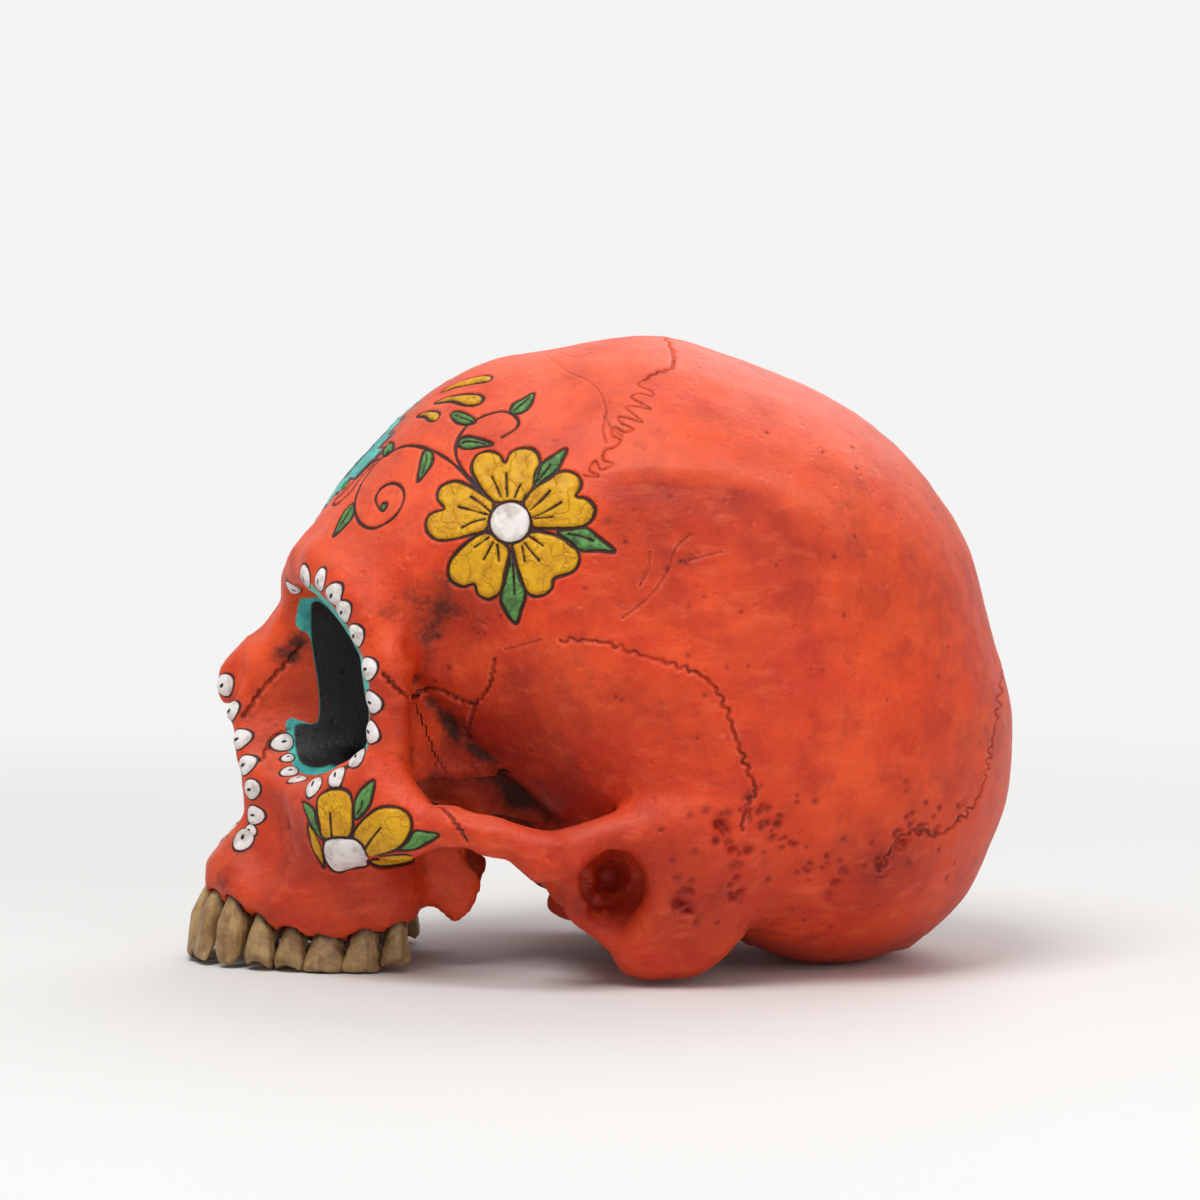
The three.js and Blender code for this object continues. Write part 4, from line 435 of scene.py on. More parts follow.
LEAVES = [
    side(1060, 545, 1075, 470, 1130, 415, 1215, 370, 1190, 440, 1150, 500, 1100, 532),
    side(1175, 768, 1240, 757, 1310, 750, 1365, 790, 1445, 860, 1370, 858, 1290, 860, 1230, 822),
    side(952, 865, 985, 950, 1020, 1060, 1000, 1140, 975, 1205, 930, 1160, 903, 1090, 918, 1000, 935, 920),
    side(785, 245, 760, 215, 700, 195, 665, 212, 690, 245, 740, 257),
    side(700, 352, 720, 320, 775, 317, 865, 350, 805, 364, 735, 372),
    side(945, 197, 965, 155, 1010, 130, 1062, 100, 1045, 160, 1010, 192, 975, 202),
    side(545, 382, 580, 395, 572, 450, 510, 525, 520, 450, 530, 410),
    side(343, 402, 350, 368, 375, 342, 395, 352, 385, 385, 360, 405),
    side(205, 632, 165, 660, 132, 720, 107, 785, 165, 735, 198, 692),
    side(328, 655, 345, 630, 363, 636, 352, 662, 338, 668),
    side(142, 555, 160, 527, 178, 520, 166, 550, 152, 562),
]
DROPS = [
    side(618, 100, 690, 64, 765, 35, 832, 20, 862, 28, 840, 50, 780, 57, 700, 76),
    side(585, 152, 650, 126, 740, 112, 800, 114, 822, 135, 797, 160, 740, 166, 665, 148),
    side(505, 215, 555, 193, 603, 195, 614, 216, 592, 241, 562, 238, 547, 222),
]
VINES = [
    side(868, 622, 800, 558, 710, 470, 620, 402, 530, 366, 450, 362, 370, 394, 295, 457, 235, 545, 206, 640,
        226, 715, 282, 750, 340, 735, 402, 690, 441, 622, 435, 560, 390, 536, 335, 560, 308, 610, 325, 655,
        338, 664),
    side(800, 565, 745, 505, 703, 440, 689, 380, 700, 325, 738, 268, 790, 232, 855, 205, 925, 193, 975, 216,
        986, 256, 955, 288, 910, 315),
    side(342, 414, 280, 441, 225, 498, 165, 568, 118, 610, 104, 633, 124, 634, 182, 582, 232, 512, 298,
        442),
]
VEINS = [side(*v) for v in (
    (865, 508, 885, 550, 906, 602), (932, 490, 935, 600), (998, 545, 985, 570, 972, 604),
    (1138, 572, 1095, 620, 1046, 665), (1193, 628, 1120, 672, 1056, 700), (1150, 698, 1066, 705),
    (1105, 835, 1075, 812, 1042, 790), (1087, 905, 1050, 862, 1018, 822), (1018, 908, 1008, 840),
    (825, 900, 848, 858, 868, 820), (897, 908, 890, 832), (784, 842, 820, 818, 850, 795),
    (705, 650, 765, 665, 838, 686), (722, 750, 775, 725, 832, 708), (763, 600, 805, 630, 852, 668),
    (1078, 525, 1140, 448), (1225, 778, 1285, 790, 1345, 812), (958, 870, 965, 960, 970, 1066),
    (690, 215, 735, 232, 775, 246), (722, 345, 770, 338, 830, 350), (965, 190, 1000, 160, 1040, 125),
    (548, 395, 552, 430, 530, 490), (200, 645, 165, 700, 120, 770),
)]
print(len(PETALS), "petals", len(LEAVES), "leaves", len(VINES), "vines")

# %% The flower on the cheek
CHEEK_PETALS = [
    cheek(572, 1378, 548, 1310, 535, 1240, 542, 1185, 590, 1150, 650, 1148, 690, 1178, 698, 1260, 688,
        1372),
    cheek(702, 1372, 722, 1320, 790, 1252, 860, 1228, 935, 1243, 972, 1290, 965, 1360, 922, 1420, 855, 1450,
        775, 1462, 748, 1410),
    cheek(496, 1312, 522, 1342, 548, 1400, 565, 1450, 572, 1512, 540, 1462, 510, 1400),
    cheek(790, 1482, 860, 1462, 950, 1455, 992, 1475, 940, 1495, 850, 1507, 806, 1503),
]
CHEEK_DISC = cheek(
    568, 1402, 590, 1380, 650, 1374, 718, 1386, 756, 1430, 775, 1488, 768, 1508, 700, 1518, 640, 1534, 600,
    1515, 570, 1460)
CHEEK_LEAVES = [
    cheek(470, 1208, 520, 1240, 537, 1300, 566, 1388, 522, 1332, 490, 1270),
    cheek(802, 1108, 792, 1180, 770, 1236, 712, 1292, 707, 1212, 740, 1150),
    cheek(1098, 1364, 1042, 1405, 990, 1430, 912, 1432, 955, 1392, 985, 1345, 1040, 1350),
]
VEINS += [cheek(*v) for v in (
    (600, 1258, 603, 1310, 608, 1368), (832, 1328, 790, 1380, 762, 1422), (745, 1208, 735, 1240, 718, 1266),
)]
ORBIT_OUTER = face(
    262, 190, 268, 150, 278, 122, 292, 112, 312, 112, 345, 150, 380, 200, 405, 250, 425, 300, 427, 350, 420,
    400, 402, 450, 375, 495, 340, 522, 300, 533, 270, 525, 252, 500, 245, 465, 240, 425, 243, 402, 256, 404,
    280, 412, 305, 417, 314, 405, 316, 365, 312, 320, 304, 270, 292, 215, 272, 205)
ORBIT_INSIDE = face(
    297, 180, 298, 145, 312, 138, 330, 150, 362, 200, 392, 256, 412, 302, 419, 345, 413, 395, 396, 445, 370,
    486, 335, 512, 300, 516, 275, 505, 264, 480, 260, 450, 262, 420, 285, 416, 305, 417, 314, 405, 316, 365,
    312, 320, 304, 270, 298, 230)
BEADS_ROUND_ORBIT = cheek(
    434, 226, 484, 182, 552, 192, 610, 256, 656, 334, 712, 443, 766, 596, 786, 748, 780, 884, 722, 1000,
    626, 1084, 525, 1126, 456, 1102, 418, 1066, 408, 1004, 388, 932)
SMALL_BEADS = {0: 0.8, 12: 0.85, 13: 0.8, 14: 0.6}
BEADS_ROUND_NOSE = cheek(
    105, 670, 135, 790, 175, 920, 203, 1040, 232, 1150, 247, 1268, 230, 1338, 200, 1372, 145, 1330)
print(len(BEADS_ROUND_ORBIT), "beads round the orbit,", len(BEADS_ROUND_NOSE), "round the nose")

# %% [markdown]
# ## The seams of the bones
# On the cast the sutures are fine wandering grooves, deepest across the forehead and over the ear.
# Each seam has a plain course, and a meander swings across it with a seeded wobble, so that no two
# turns are alike.

# %% Sutures and cracks
def meander(line, swing, wave, seed):
    """A line that wanders to both sides of its course, in picture pixels."""
    rng = np.random.default_rng(seed)
    path = curve(line, step=1.2)
    ahead = np.gradient(path, axis=0)
    ahead /= np.maximum(np.linalg.norm(ahead, axis=1, keepdims=True), 1e-9)
    across = np.stack((-ahead[:, 1], ahead[:, 0]), axis=1)
    run = np.concatenate(([0], np.cumsum(np.linalg.norm(np.diff(path, axis=0), axis=1))))
    phase = 2 * np.pi * run / wave + np.cumsum(rng.normal(0, 0.22, len(run)))
    size = 0.55 + 0.45 * np.sin(2 * np.pi * run / (wave * 4.7) + rng.uniform(0, 6))
    turn = np.sin(phase)
    turn = np.sign(turn) * np.abs(turn) ** 0.6
    return path + across * (swing * size * turn)[:, None] + rng.normal(0, 0.25, path.shape)


SEAMS = [  # course, half width in mm, depth in mm
    (meander(whole(665, 337, 672, 350, 673, 366, 665, 371, 654, 374, 644, 380), 1.0, 9, 1), 0.24, 0.6),
    (crop(480, 330, 1.538, 252, 76, 243, 84, 263, 93, 266, 101, 244, 97, 233, 103, 250, 113, 262, 121, 240,
        117, 224, 118, 238, 130, 249, 141, 232, 136, 214, 133, 216, 142, 235, 152, 222, 157, 207, 149, 202,
        160, 216, 169, 206, 180, 192, 184, 189, 198, 204, 206, 186, 213, 177, 200, 168, 214, 182, 223, 160,
        222), 0.15, 0.42),
    (meander(whole(560, 640, 600, 642, 640, 655, 700, 675, 722, 700, 735, 735, 748, 770, 757, 790), 2.4, 13,
        3), 0.26, 0.5),
    (meander(whole(383, 674, 397, 688, 412, 697, 425, 690, 439, 691, 456, 699, 474, 705), 1.5, 8, 4), 0.34,
        0.7),
    (meander(whole(474, 705, 483, 695, 490, 683, 494, 660), 1.2, 7, 5), 0.35, 0.35),
    (meander(whole(474, 705, 470, 722, 467, 737), 1.2, 7, 6), 0.35, 0.35),
    (meander(whole(431, 801, 443, 808, 455, 822, 466, 841), 1.4, 7, 7), 0.35, 0.35),
    (meander(whole(1003, 668, 1000, 700, 993, 740, 985, 780, 975, 803, 960, 820), 3.0, 13, 8), 0.24, 0.45),
    (meander(whole(960, 820, 940, 835, 920, 832, 900, 840, 880, 872), 3.0, 12, 9), 0.26, 0.5),
    (meander(whole(300, 648, 285, 665, 262, 690, 250, 708, 243, 716), 1.0, 9, 10), 0.4, 0.4),
    (meander(whole(290, 730, 272, 738, 262, 760), 1.0, 8, 11), 0.3, 0.25),
    (meander(whole(757, 790, 748, 806, 742, 830), 2.0, 9, 12), 0.35, 0.3),
]
CRACKS = [
    curve(whole(545, 352, 556, 362, 570, 372, 588, 380, 600, 392, 606, 410, 603, 428, 606, 442)),
    curve(whole(556, 350, 575, 356, 590, 352)),
    curve(whole(690, 535, 676, 548, 668, 570, 655, 590, 640, 605, 622, 618)),
    curve(whole(690, 560, 706, 556, 722, 552)), curve(whole(640, 585, 648, 570, 650, 552)),
    curve(whole(540, 640, 520, 646, 505, 650)), curve(whole(604, 416, 612, 428, 622, 436)),
]
LAMBDOID = 7  # the place in SEAMS of the seam that starts at the back
rng = np.random.default_rng(21)
sagittal = np.array([(0.0, y) for y in np.arange(17.0, 99.0, 0.35)])
wander = np.cumsum(rng.normal(0, 0.2, len(sagittal)))
sagittal[:, 0] = 1.7 * np.sin(sagittal[:, 1] * 1.35 + wander) * (0.6 + 0.4 * np.sin(sagittal[:, 1] * 0.31))
print(len(SEAMS), "seams on each side and", len(CRACKS), "cracks")

# %% Lay the drawing on the skin
FINE_STEP = 0.9  # in picture pixels
FLOWER_X, SEAM_X, CRACK_X = 50.0, 30.0, 40.0  # where a sight line that misses the skin ends, in mm
INK_HALF, VEIN_HALF, MIDDLE_HALF = 0.4, 0.28, 0.26


def shape(points):
    """A closed form: its outline in the picture and on the skin."""
    line = curve(points, True, FINE_STEP)
    return {"picture": line, "skin": laid(line, FLOWER_X)}


def gathered(lines):
    """The points of many lines in one array, and for each point the numbers of its line."""
    each = [np.concatenate([np.full(len(row[0]), row[k]) for row in lines]) for k in range(1, len(lines[0]))]
    return np.concatenate([row[0] for row in lines]), *each


painted_shapes = {
    "yellow": [shape(p) for p in PETALS + DROPS + CHEEK_PETALS],
    "green": [shape(p) for p in LEAVES + CHEEK_LEAVES],
    "white": [shape(DISC), shape(CHEEK_DISC)],
}
strokes = [(form["skin"], INK_HALF) for forms in painted_shapes.values() for form in forms]
for lines, half in ((VINES, INK_HALF), (VEINS, VEIN_HALF)):
    strokes += [(laid(curve(line, step=FINE_STEP), FLOWER_X), half) for line in lines]
stroke_points, stroke_half = gathered(strokes)

seam_lines = [(laid(curve(line, step=FINE_STEP), SEAM_X), half, depth) for line, half, depth in SEAMS]
seam_lines += [(laid(line, CRACK_X), 0.16, 0.22) for line in CRACKS]
crown_rays = [skin_tree.ray_cast(Vector((x, y, 300.0)), Vector((0, 0, -1)))[0] for x, y in sagittal]
crown_middle = np.array([tuple(p) for p in crown_rays if p is not None])
lambda_end, top = seam_lines[LAMBDOID][0][0], crown_middle[-1]
link = []  # the two halves of the lambdoid seam meet in the middle of the back
for t in np.linspace(0.0, 1.0, 60):
    height = top[2] + (lambda_end[2] - top[2]) * t + 0.9 * math.sin(19.0 * t) * math.sin(math.pi * t)
    hit = skin_tree.ray_cast(Vector((lambda_end[0] * t, 300.0, height)), Vector((0, -1, 0)))[0]
    if hit is not None:
        link.append(tuple(hit))
seam_lines.append((np.array(link), 0.24, 0.45))
seam_points, seam_half, seam_depth = gathered(seam_lines)
print(len(stroke_points), "points on strokes,", len(seam_points), "on seams")

# %% [markdown]
# ## Beads, lumps and pits
# Each white bead is an egg that stands across its string. In front of the ear lie a few lumps, and
# pits of many sizes lie behind it and along the back, most of them near those that the photograph
# shows.

# %% Beads
SHARE_LONG, SHARE_WIDE, WIDEST = 0.45, 0.55, 2.6  # half sizes as shares of a bead's room, limit in mm


def beads_on(line, guess_x, longest, smaller):
    """Centre, tangent, outward side and half sizes of each bead of a string."""
    spots = laid(line, guess_x)
    found = []
    for i, spot in enumerate(spots):
        ahead = spots[min(i + 1, len(spots) - 1)] - spots[max(i - 1, 0)]
        room = np.linalg.norm(ahead) / (2 if 0 < i < len(spots) - 1 else 1)
        tangent = ahead / np.linalg.norm(ahead)
        across = np.cross(np.array(skin_tree.find_nearest(Vector(spot))[1]), tangent)
        across /= np.linalg.norm(across)
        share = smaller.get(i, 1.0)
        found.append((spot, tangent, across,
                      share * min(SHARE_LONG * room, longest), share * min(SHARE_WIDE * room, WIDEST)))
    return found


beads = beads_on(BEADS_ROUND_ORBIT, 40.0, 2.7, SMALL_BEADS) + beads_on(BEADS_ROUND_NOSE, 9.0, 2.4, {})
print(len(beads), "beads on each side")

# %% Lumps and pits
LUMPS = [  # picture place, height and radius in mm
    (560, 850, 1.6, 2.2), (575, 866, 1.4, 1.8), (588, 880, 1.6, 1.7), (597, 897, 1.4, 1.6),
    (604, 912, 1.2, 1.6), (585, 905, 1.0, 1.6), (553, 868, 0.9, 1.6)]
PITS_SEEN = [  # picture place, radius and depth in mm
    (683, 892, 1.7, 1.3), (686, 906, 2.1, 1.7), (690, 918, 1.5, 1.1), (733, 889, 1.7, 1.2),
    (730, 902, 1.4, 1.0), (727, 836, 1.9, 1.5), (735, 848, 1.9, 1.5), (741, 859, 1.4, 1.0),
    (765, 822, 1.3, 0.7), (780, 828, 1.5, 0.8), (790, 838, 1.1, 0.7), (900, 828, 1.9, 1.1),
    (912, 838, 1.9, 1.2), (925, 832, 1.2, 0.7), (936, 824, 1.3, 0.7), (880, 870, 1.6, 0.8),
    (806, 867, 1.2, 0.7), (835, 885, 1.2, 0.6), (846, 880, 1.3, 0.7), (715, 815, 1.6, 0.6),
    (745, 815, 1.3, 0.6), (752, 806, 1.5, 0.7), (768, 812, 1.2, 0.6), (905, 846, 1.2, 0.7),
    (824, 861, 1.0, 0.6),
]
SCATTERED = [  # how many, picture box as two corners, smallest and largest radius and depth in mm
    (45, (660, 780), (960, 930), (0.4, 0.9), (0.25, 0.6)),
    (50, (430, 380), (960, 760), (0.35, 0.7), (0.15, 0.35))]
EAR_X, BACK_X = 60.0, 55.0  # where a sight line that misses the skin ends, in mm
rng = np.random.default_rng(5)
pits = []
for px, py, size, depth in PITS_SEEN:
    for _ in range(4):
        at = (px + 4.0 * size * rng.normal(), py + 5.0 * size * rng.normal())
        pits.append((on_skin(*at, EAR_X), size * rng.uniform(0.45, 0.9), depth * rng.uniform(0.6, 1.0)))
for count, low, high, sizes, depths in SCATTERED:
    for _ in range(count):
        at = (rng.uniform(low[0], high[0]), rng.uniform(low[1], high[1]))
        pits.append((on_skin(*at, BACK_X), rng.uniform(*sizes), rng.uniform(*depths)))
lump_spots = np.array([on_skin(px, py, EAR_X) for px, py, _, _ in LUMPS])
print(len(pits), "pits and", len(LUMPS), "lumps on each side")

# %% [markdown]
# ## Finer cells where the graver went
# The skin's cells are a bit over a millimetre wide, enough for a bone and too coarse for a drawing.
# Only the faces near a line, a bead or a seam are divided, so the rest of the cast stays light.

# %% Divide the faces near the drawing
stroke_tree, seam_tree, crown_tree = tree_of(stroke_points), tree_of(seam_points), tree_of(crown_middle)
bead_tree, pit_tree = tree_of([bead[0] for bead in beads]), tree_of([pit[0] for pit in pits])
lump_tree = tree_of(lump_spots)


def folded(rows):
    """The same points with those of the right side mirrored to the left."""
    return np.abs(rows * (1, 0, 0)) + rows * (0, 1, 1)


def divide_near(reaches):
    """Divides the faces whose middle lies near one of several trees of points."""
    spots = folded(middles(skin))
    wanted = np.zeros(len(spots), bool)
    for tree, reach in reaches:
        wanted |= near_to(tree, spots, reach)[0] < reach
    only(skin)
    mode("EDIT")
    bpy.ops.mesh.select_mode(type="FACE")
    bpy.ops.mesh.select_all(action="DESELECT")
    mode("OBJECT")
    skin.data.polygons.foreach_set("select", wanted)
    mode("EDIT")
    bpy.ops.mesh.subdivide(number_cuts=1, smoothness=0.0)
    mode("OBJECT")


divide_near(((crown_tree, 1.6), (stroke_tree, 1.7), (seam_tree, 2.0), (bead_tree, 3.2), (pit_tree, 2.0),
             (lump_tree, 3.5)))
divide_near(((crown_tree, 1.6), (stroke_tree, 0.7), (seam_tree, 0.9), (bead_tree, 2.3), (pit_tree, 1.0)))
points, facing = places(skin), normals(skin)
print("skin:", len(points), "vertices after dividing")

# %% [markdown]
# ## Measured colour fields
# Each paint gets a value at every vertex: its distance in millimetres to the edge of that paint,
# below zero inside. The material later cuts these values at zero, which gives an edge that stays
# sharp at any distance and needs no picture. The right side is folded on to the left for this, with
# a slow unsteadiness, so that its lines are those of a second drawing by the same hand.

# %% Distances to strokes and seams
left, outward = folded(points), facing.copy()
outward[:, 0] *= np.where(points[:, 0] < 0, -1.0, 1.0)
unsteady = np.array([tuple(noise.noise_vector(Vector(p) * 0.11)) if p[0] < -8 else (0.0, 0.0, 0.0)
                     for p in points])
unsteady -= outward * (unsteady * outward).sum(axis=1, keepdims=True)
left += 0.9 * unsteady * ease((-8.0 - points[:, 0]) / 8.0)[:, None]
sight = np.array((CAMERA_X, 0.0, CAMERA_Z)) - left
sight /= np.linalg.norm(sight, axis=1, keepdims=True)
towards = (outward * sight).sum(axis=1)  # 1 where the skin faces the camera
picture = seen(left)
flat_picture = np.concatenate((picture, np.zeros((len(picture), 1))), axis=1)

distance, which = near_to(stroke_tree, left, 2 * LIMIT)
distance[towards < -0.15] = FAR_OFF
pressure = ripples(left, 0.22, (9, 2, 4))  # the brush draws a line now wider, now thinner
ink = np.minimum(distance - stroke_half[which] * (1.0 + 0.55 * pressure), LIMIT)
distance, which = near_to(seam_tree, left, 2 * LIMIT)
seam, deepness = np.minimum(distance - seam_half[which], LIMIT), seam_depth[which]
middle_seam = near_to(crown_tree, points, LIMIT)[0] - MIDDLE_HALF
deepness = np.where(middle_seam < seam, 0.5, deepness)
fields = {"ink": ink, "seam": np.minimum(seam, middle_seam)}


def field_of(forms):
    """Signed distance in millimetres to the edge of the nearest of several closed forms."""
    field = np.full(len(left), LIMIT)
    for form in forms:
        centre = form["skin"].mean(axis=0)
        reach = np.linalg.norm(form["skin"] - centre, axis=1).max() + LIMIT
        close = np.nonzero((np.linalg.norm(left - centre, axis=1) < reach) & (towards > 0.0))[0]
        far, _ = near_to(tree_of(form["skin"]), left[close], 30.0)
        far = np.where(inside(form["picture"], picture[close]), -far, far)
        field[close] = np.minimum(field[close], np.clip(far, -LIMIT, LIMIT))
    return field


edges = np.empty(len(skin.data.edges) * 2, np.int32)
skin.data.edges.foreach_get("vertices", edges)
edges = edges.reshape(-1, 2)
neighbours = np.bincount(edges.ravel(), minlength=len(points)).astype(float)


def spread_out(values, rounds):
    """Averages rows of values over neighbouring vertices a number of times."""
    for _ in range(rounds):
        total = np.zeros_like(values)
        for column in range(values.shape[1]):
            total[:, column] = (np.bincount(edges[:, 0], values[edges[:, 1], column], len(values))
                                + np.bincount(edges[:, 1], values[edges[:, 0], column], len(values)))
        values = 0.5 * values + 0.5 * total / neighbours[:, None]
    return values


fields |= {name: field_of(forms) for name, forms in painted_shapes.items()}
fields["ink"] = np.maximum(fields["ink"], -fields["white"] - 0.35)
print({name: int((value < 0).sum()) for name, value in fields.items()})

# %% Beads, their dots and dark rings
DOT_LONG, DOT_WIDE = 0.62, 1.15
egg, dot, dome = np.full(len(left), LIMIT), np.full(len(left), LIMIT), np.zeros(len(left))
for spot, tangent, across, long, wide in beads:
    away = left - spot
    close = np.nonzero((np.abs(away) < 5.0).all(axis=1) & (towards > -0.4))[0]
    u, v = away[close] @ tangent, away[close] @ across
    from_middle = np.sqrt((u / long) ** 2 + (v / (wide * (1.0 + 0.08 * v))) ** 2)
    egg[close] = np.minimum(egg[close], (from_middle - 1.0) * min(long, wide))
    small_dot = np.sqrt((u / DOT_LONG) ** 2 + (v / DOT_WIDE) ** 2) - 0.22 * min(long, wide) - 0.12
    dot[close] = np.minimum(dot[close], small_dot)
    dome[close] = np.maximum(dome[close], np.sqrt(np.clip(1.0 - from_middle ** 2, 0.0, 1.0)))
fields["bead"], fields["dot"] = np.clip(egg, -LIMIT, LIMIT), np.clip(dot, -LIMIT, LIMIT)
print("beads cover", int((egg < 0).sum()), "vertices")

# %% [markdown]
# ## Orbit, nose and forehead
# The orbit's rim wears a turquoise band that ends in near black inside. The black goes where nothing
# stands between the skin and the middle of the orbit, and its edge on the rim follows the photograph.
# The nose is dark inside too. The forehead carries a stepped diamond, a plain geometric ornament,
# laid on from the front.

# %% Orbit band and dark openings
ORBIT_INNER, ORBIT_Z, ORBIT_Y = 11.0, 69.5, -72.0
ORBIT_HALF_X, ORBIT_HALF_Z, ORBIT_DEPTH, SQUARENESS = 18.3, 23.3, 46.0, 2.7
IN_ORBIT = (Vector((30.0, -48.0, 67.0)), Vector((29.0, -52.0, 68.0)))
PIXELS_PER_MM = 4.1
along = np.clip((left[:, 1] - ORBIT_Y) / ORBIT_DEPTH, -0.3, 1.0)
narrow = 1.0 - 0.7 * np.clip(along, 0, 1)
u = left[:, 0] - ORBIT_INNER - ORBIT_HALF_X - 1.5 * along
v = left[:, 2] - ORBIT_Z + 0.1 * u
opening = (np.abs(u / (ORBIT_HALF_X * narrow)) ** SQUARENESS
           + np.abs(v / (ORBIT_HALF_Z * narrow)) ** SQUARENESS) ** (1 / SQUARENESS)
eye = within(left, (7.0, -84.0, 42.0), (FAR_OFF, -24.0, 97.0)) & (opening < 2.2)


def picture_field(polygon):
    """Signed distance in millimetres to a closed line of the picture, round the eye."""
    line = curve(polygon, True, FINE_STEP)
    tree = tree_of([(px, py, 0.0) for px, py in line])
    field = np.full(len(left), LIMIT)
    close = np.nonzero(eye & (np.abs(picture - line.mean(axis=0)) < 90.0).all(axis=1))[0]
    far = near_to(tree, flat_picture[close], FAR_OFF)[0] / PIXELS_PER_MM
    field[close] = np.where(inside(line, picture[close]), -far, far)
    return np.clip(field, -LIMIT, LIMIT)


def sees_orbit(spot, way):
    """Whether nothing stands between a place on the skin and the middle of the orbit."""
    start = Vector(spot) + 0.8 * Vector(way)
    return any(skin_tree.ray_cast(start, target - start, (target - start).length)[0] is None
               for target in IN_ORBIT)


rim_start = edge_at(WALL_START, left[:, 2])[:, :2]
rim_way = edge_at(WALL_END, left[:, 2])[:, :2] - rim_start
from_start = left[:, :2] - rim_start
behind_wall = from_start[:, 0] * rim_way[:, 1] - from_start[:, 1] * rim_way[:, 0]
behind_wall /= np.linalg.norm(rim_way, axis=1)
may_see = (within(left, (6.0, -84.0, 38.0), (56.0, -15.0, 100.0))
           & ((behind_wall < 0.6) | (left[:, 2] > 72.0)))
in_orbit = np.full(len(left), LIMIT)
for i in np.nonzero(may_see)[0]:
    if sees_orbit(left[i], outward[i]):
        in_orbit[i] = -LIMIT
in_orbit = spread_out(in_orbit[:, None], 5)[:, 0]

nose_side = ease((20.0 - left[:, 0]) / 8.0)
behind_rim = left[:, 1] - (-85.5 + 0.714 * left[:, 0])
inner = behind_rim - 5.4 - 3.5 * nose_side + 1.5 * ripples(left, 0.16)
lowest_black = 43.0 + 5.0 * ease((left[:, 1] + 54.0) / 6.0)
black = np.maximum(np.maximum(in_orbit, -inner), lowest_black - left[:, 2])
seen_rim = np.where((left[:, 0] > 33.0) & (left[:, 2] > 54.0), -LIMIT, 8.0 * towards - 0.4)
teal = np.maximum(np.maximum(in_orbit + 1.0, inner), seen_rim)
teal[(left[:, 0] < 17.0) & (left[:, 1] < -62.0)] = LIMIT
black = np.minimum(black, np.maximum(picture_field(ORBIT_INSIDE), in_orbit - 1.0))
teal = np.minimum(teal, np.maximum(picture_field(ORBIT_OUTER), inner - 4.0))
nose_dark = np.maximum.reduce([left[:, 0] - 10.5, 24.0 - left[:, 2], left[:, 2] - 57.0,
                               -79.0 - left[:, 1], left[:, 1] + 38.0])
fields["teal"] = np.clip(teal, -LIMIT, LIMIT)
fields["black"] = np.clip(np.minimum(black, nose_dark), -LIMIT, LIMIT)
print("near black covers", int((fields["black"] < 0).sum()), "vertices")

# %% Stepped diamond of the forehead
forehead = (left[:, 1] < -20) & (left[:, 2] > 84) & (outward[:, 1] < 0.3) & (outward[:, 2] > -0.5)


def stepped(low, high, width, steps):
    """The right half of a stepped diamond, as corners of (x, z)."""
    rise = (high - low) / (2 * steps)
    corners = [(0.0, low)]
    for k in range(steps):
        out = width * (k + 1) / steps
        corners += [(out, low + k * rise), (out, low + (k + 1) * rise)]
    for k in reversed(range(steps)):
        out = width * (k + 1) / steps
        corners += [(out, high - (k + 1) * rise), (out, high - k * rise)]
    return np.array(corners + [(0.0, high)])


def flat_field(corners, rows):
    """Signed distance of (x, z) points to a closed polygon that is mirrored at x = 0."""
    best = np.full(len(rows), FAR_OFF)
    loop = np.concatenate((corners, corners[::-1] * (-1, 1)))
    for a, b in zip(loop, np.roll(loop, -1, axis=0)):
        edge = b - a
        size = edge @ edge
        if size < 1e-9 or (abs(a[0]) < 1e-6 and abs(b[0]) < 1e-6):
            continue
        t = np.clip(((rows - a) @ edge) / size, 0, 1)
        best = np.minimum(best, np.linalg.norm(rows - a - t[:, None] * edge, axis=1))
    return np.where(inside(loop, rows), -best, best)


def stepped_field(low, high, width, steps):
    """Signed distance to a stepped diamond on the forehead."""
    field = np.full(len(left), LIMIT)
    flat = flat_field(stepped(low, high, width, steps), left[forehead][:, [0, 2]])
    field[forehead] = np.clip(flat, -LIMIT, LIMIT)
    return field


rim_steps, motif = stepped_field(104.5, 141.5, 22.5, 5), stepped_field(106.0, 140.0, 20.6, 5)
heart, heart_core = stepped_field(112.0, 134.5, 11.0, 3), stepped_field(116.5, 130.5, 6.5, 3)
fields["teal"] = np.minimum(fields["teal"], motif)
fields["slate"] = np.minimum(np.maximum(rim_steps, -motif), np.maximum(heart, -heart_core))
for line in (rim_steps, heart, heart_core):
    fields["ink"] = np.minimum(fields["ink"], np.abs(line) - VEIN_HALF)
print("turquoise covers", int((fields["teal"] < 0).sum()), "vertices")

# %% [markdown]
# ## Dark wash, painted shade and deep red
# A thin dark paint was wiped over the cast and stayed in the hollows, and the hollows are darkened
# further as painted shade. Hollows are found by comparing each vertex with the mean of its
# neighbourhood. To these come the smudges that the photograph shows in certain places, partly dark
# paint and partly painted shade, and the painted shade round the necks of the teeth. Spots of deep red
# are painted shade too.

# %% Hollows of the skin
hollow = ((spread_out(points, 24) - points) * facing).sum(axis=1)
hollow = spread_out(hollow[:, None], 3)[:, 0]
print("hollows from", hollow.min().round(2), "to", hollow.max().round(2), "mm")
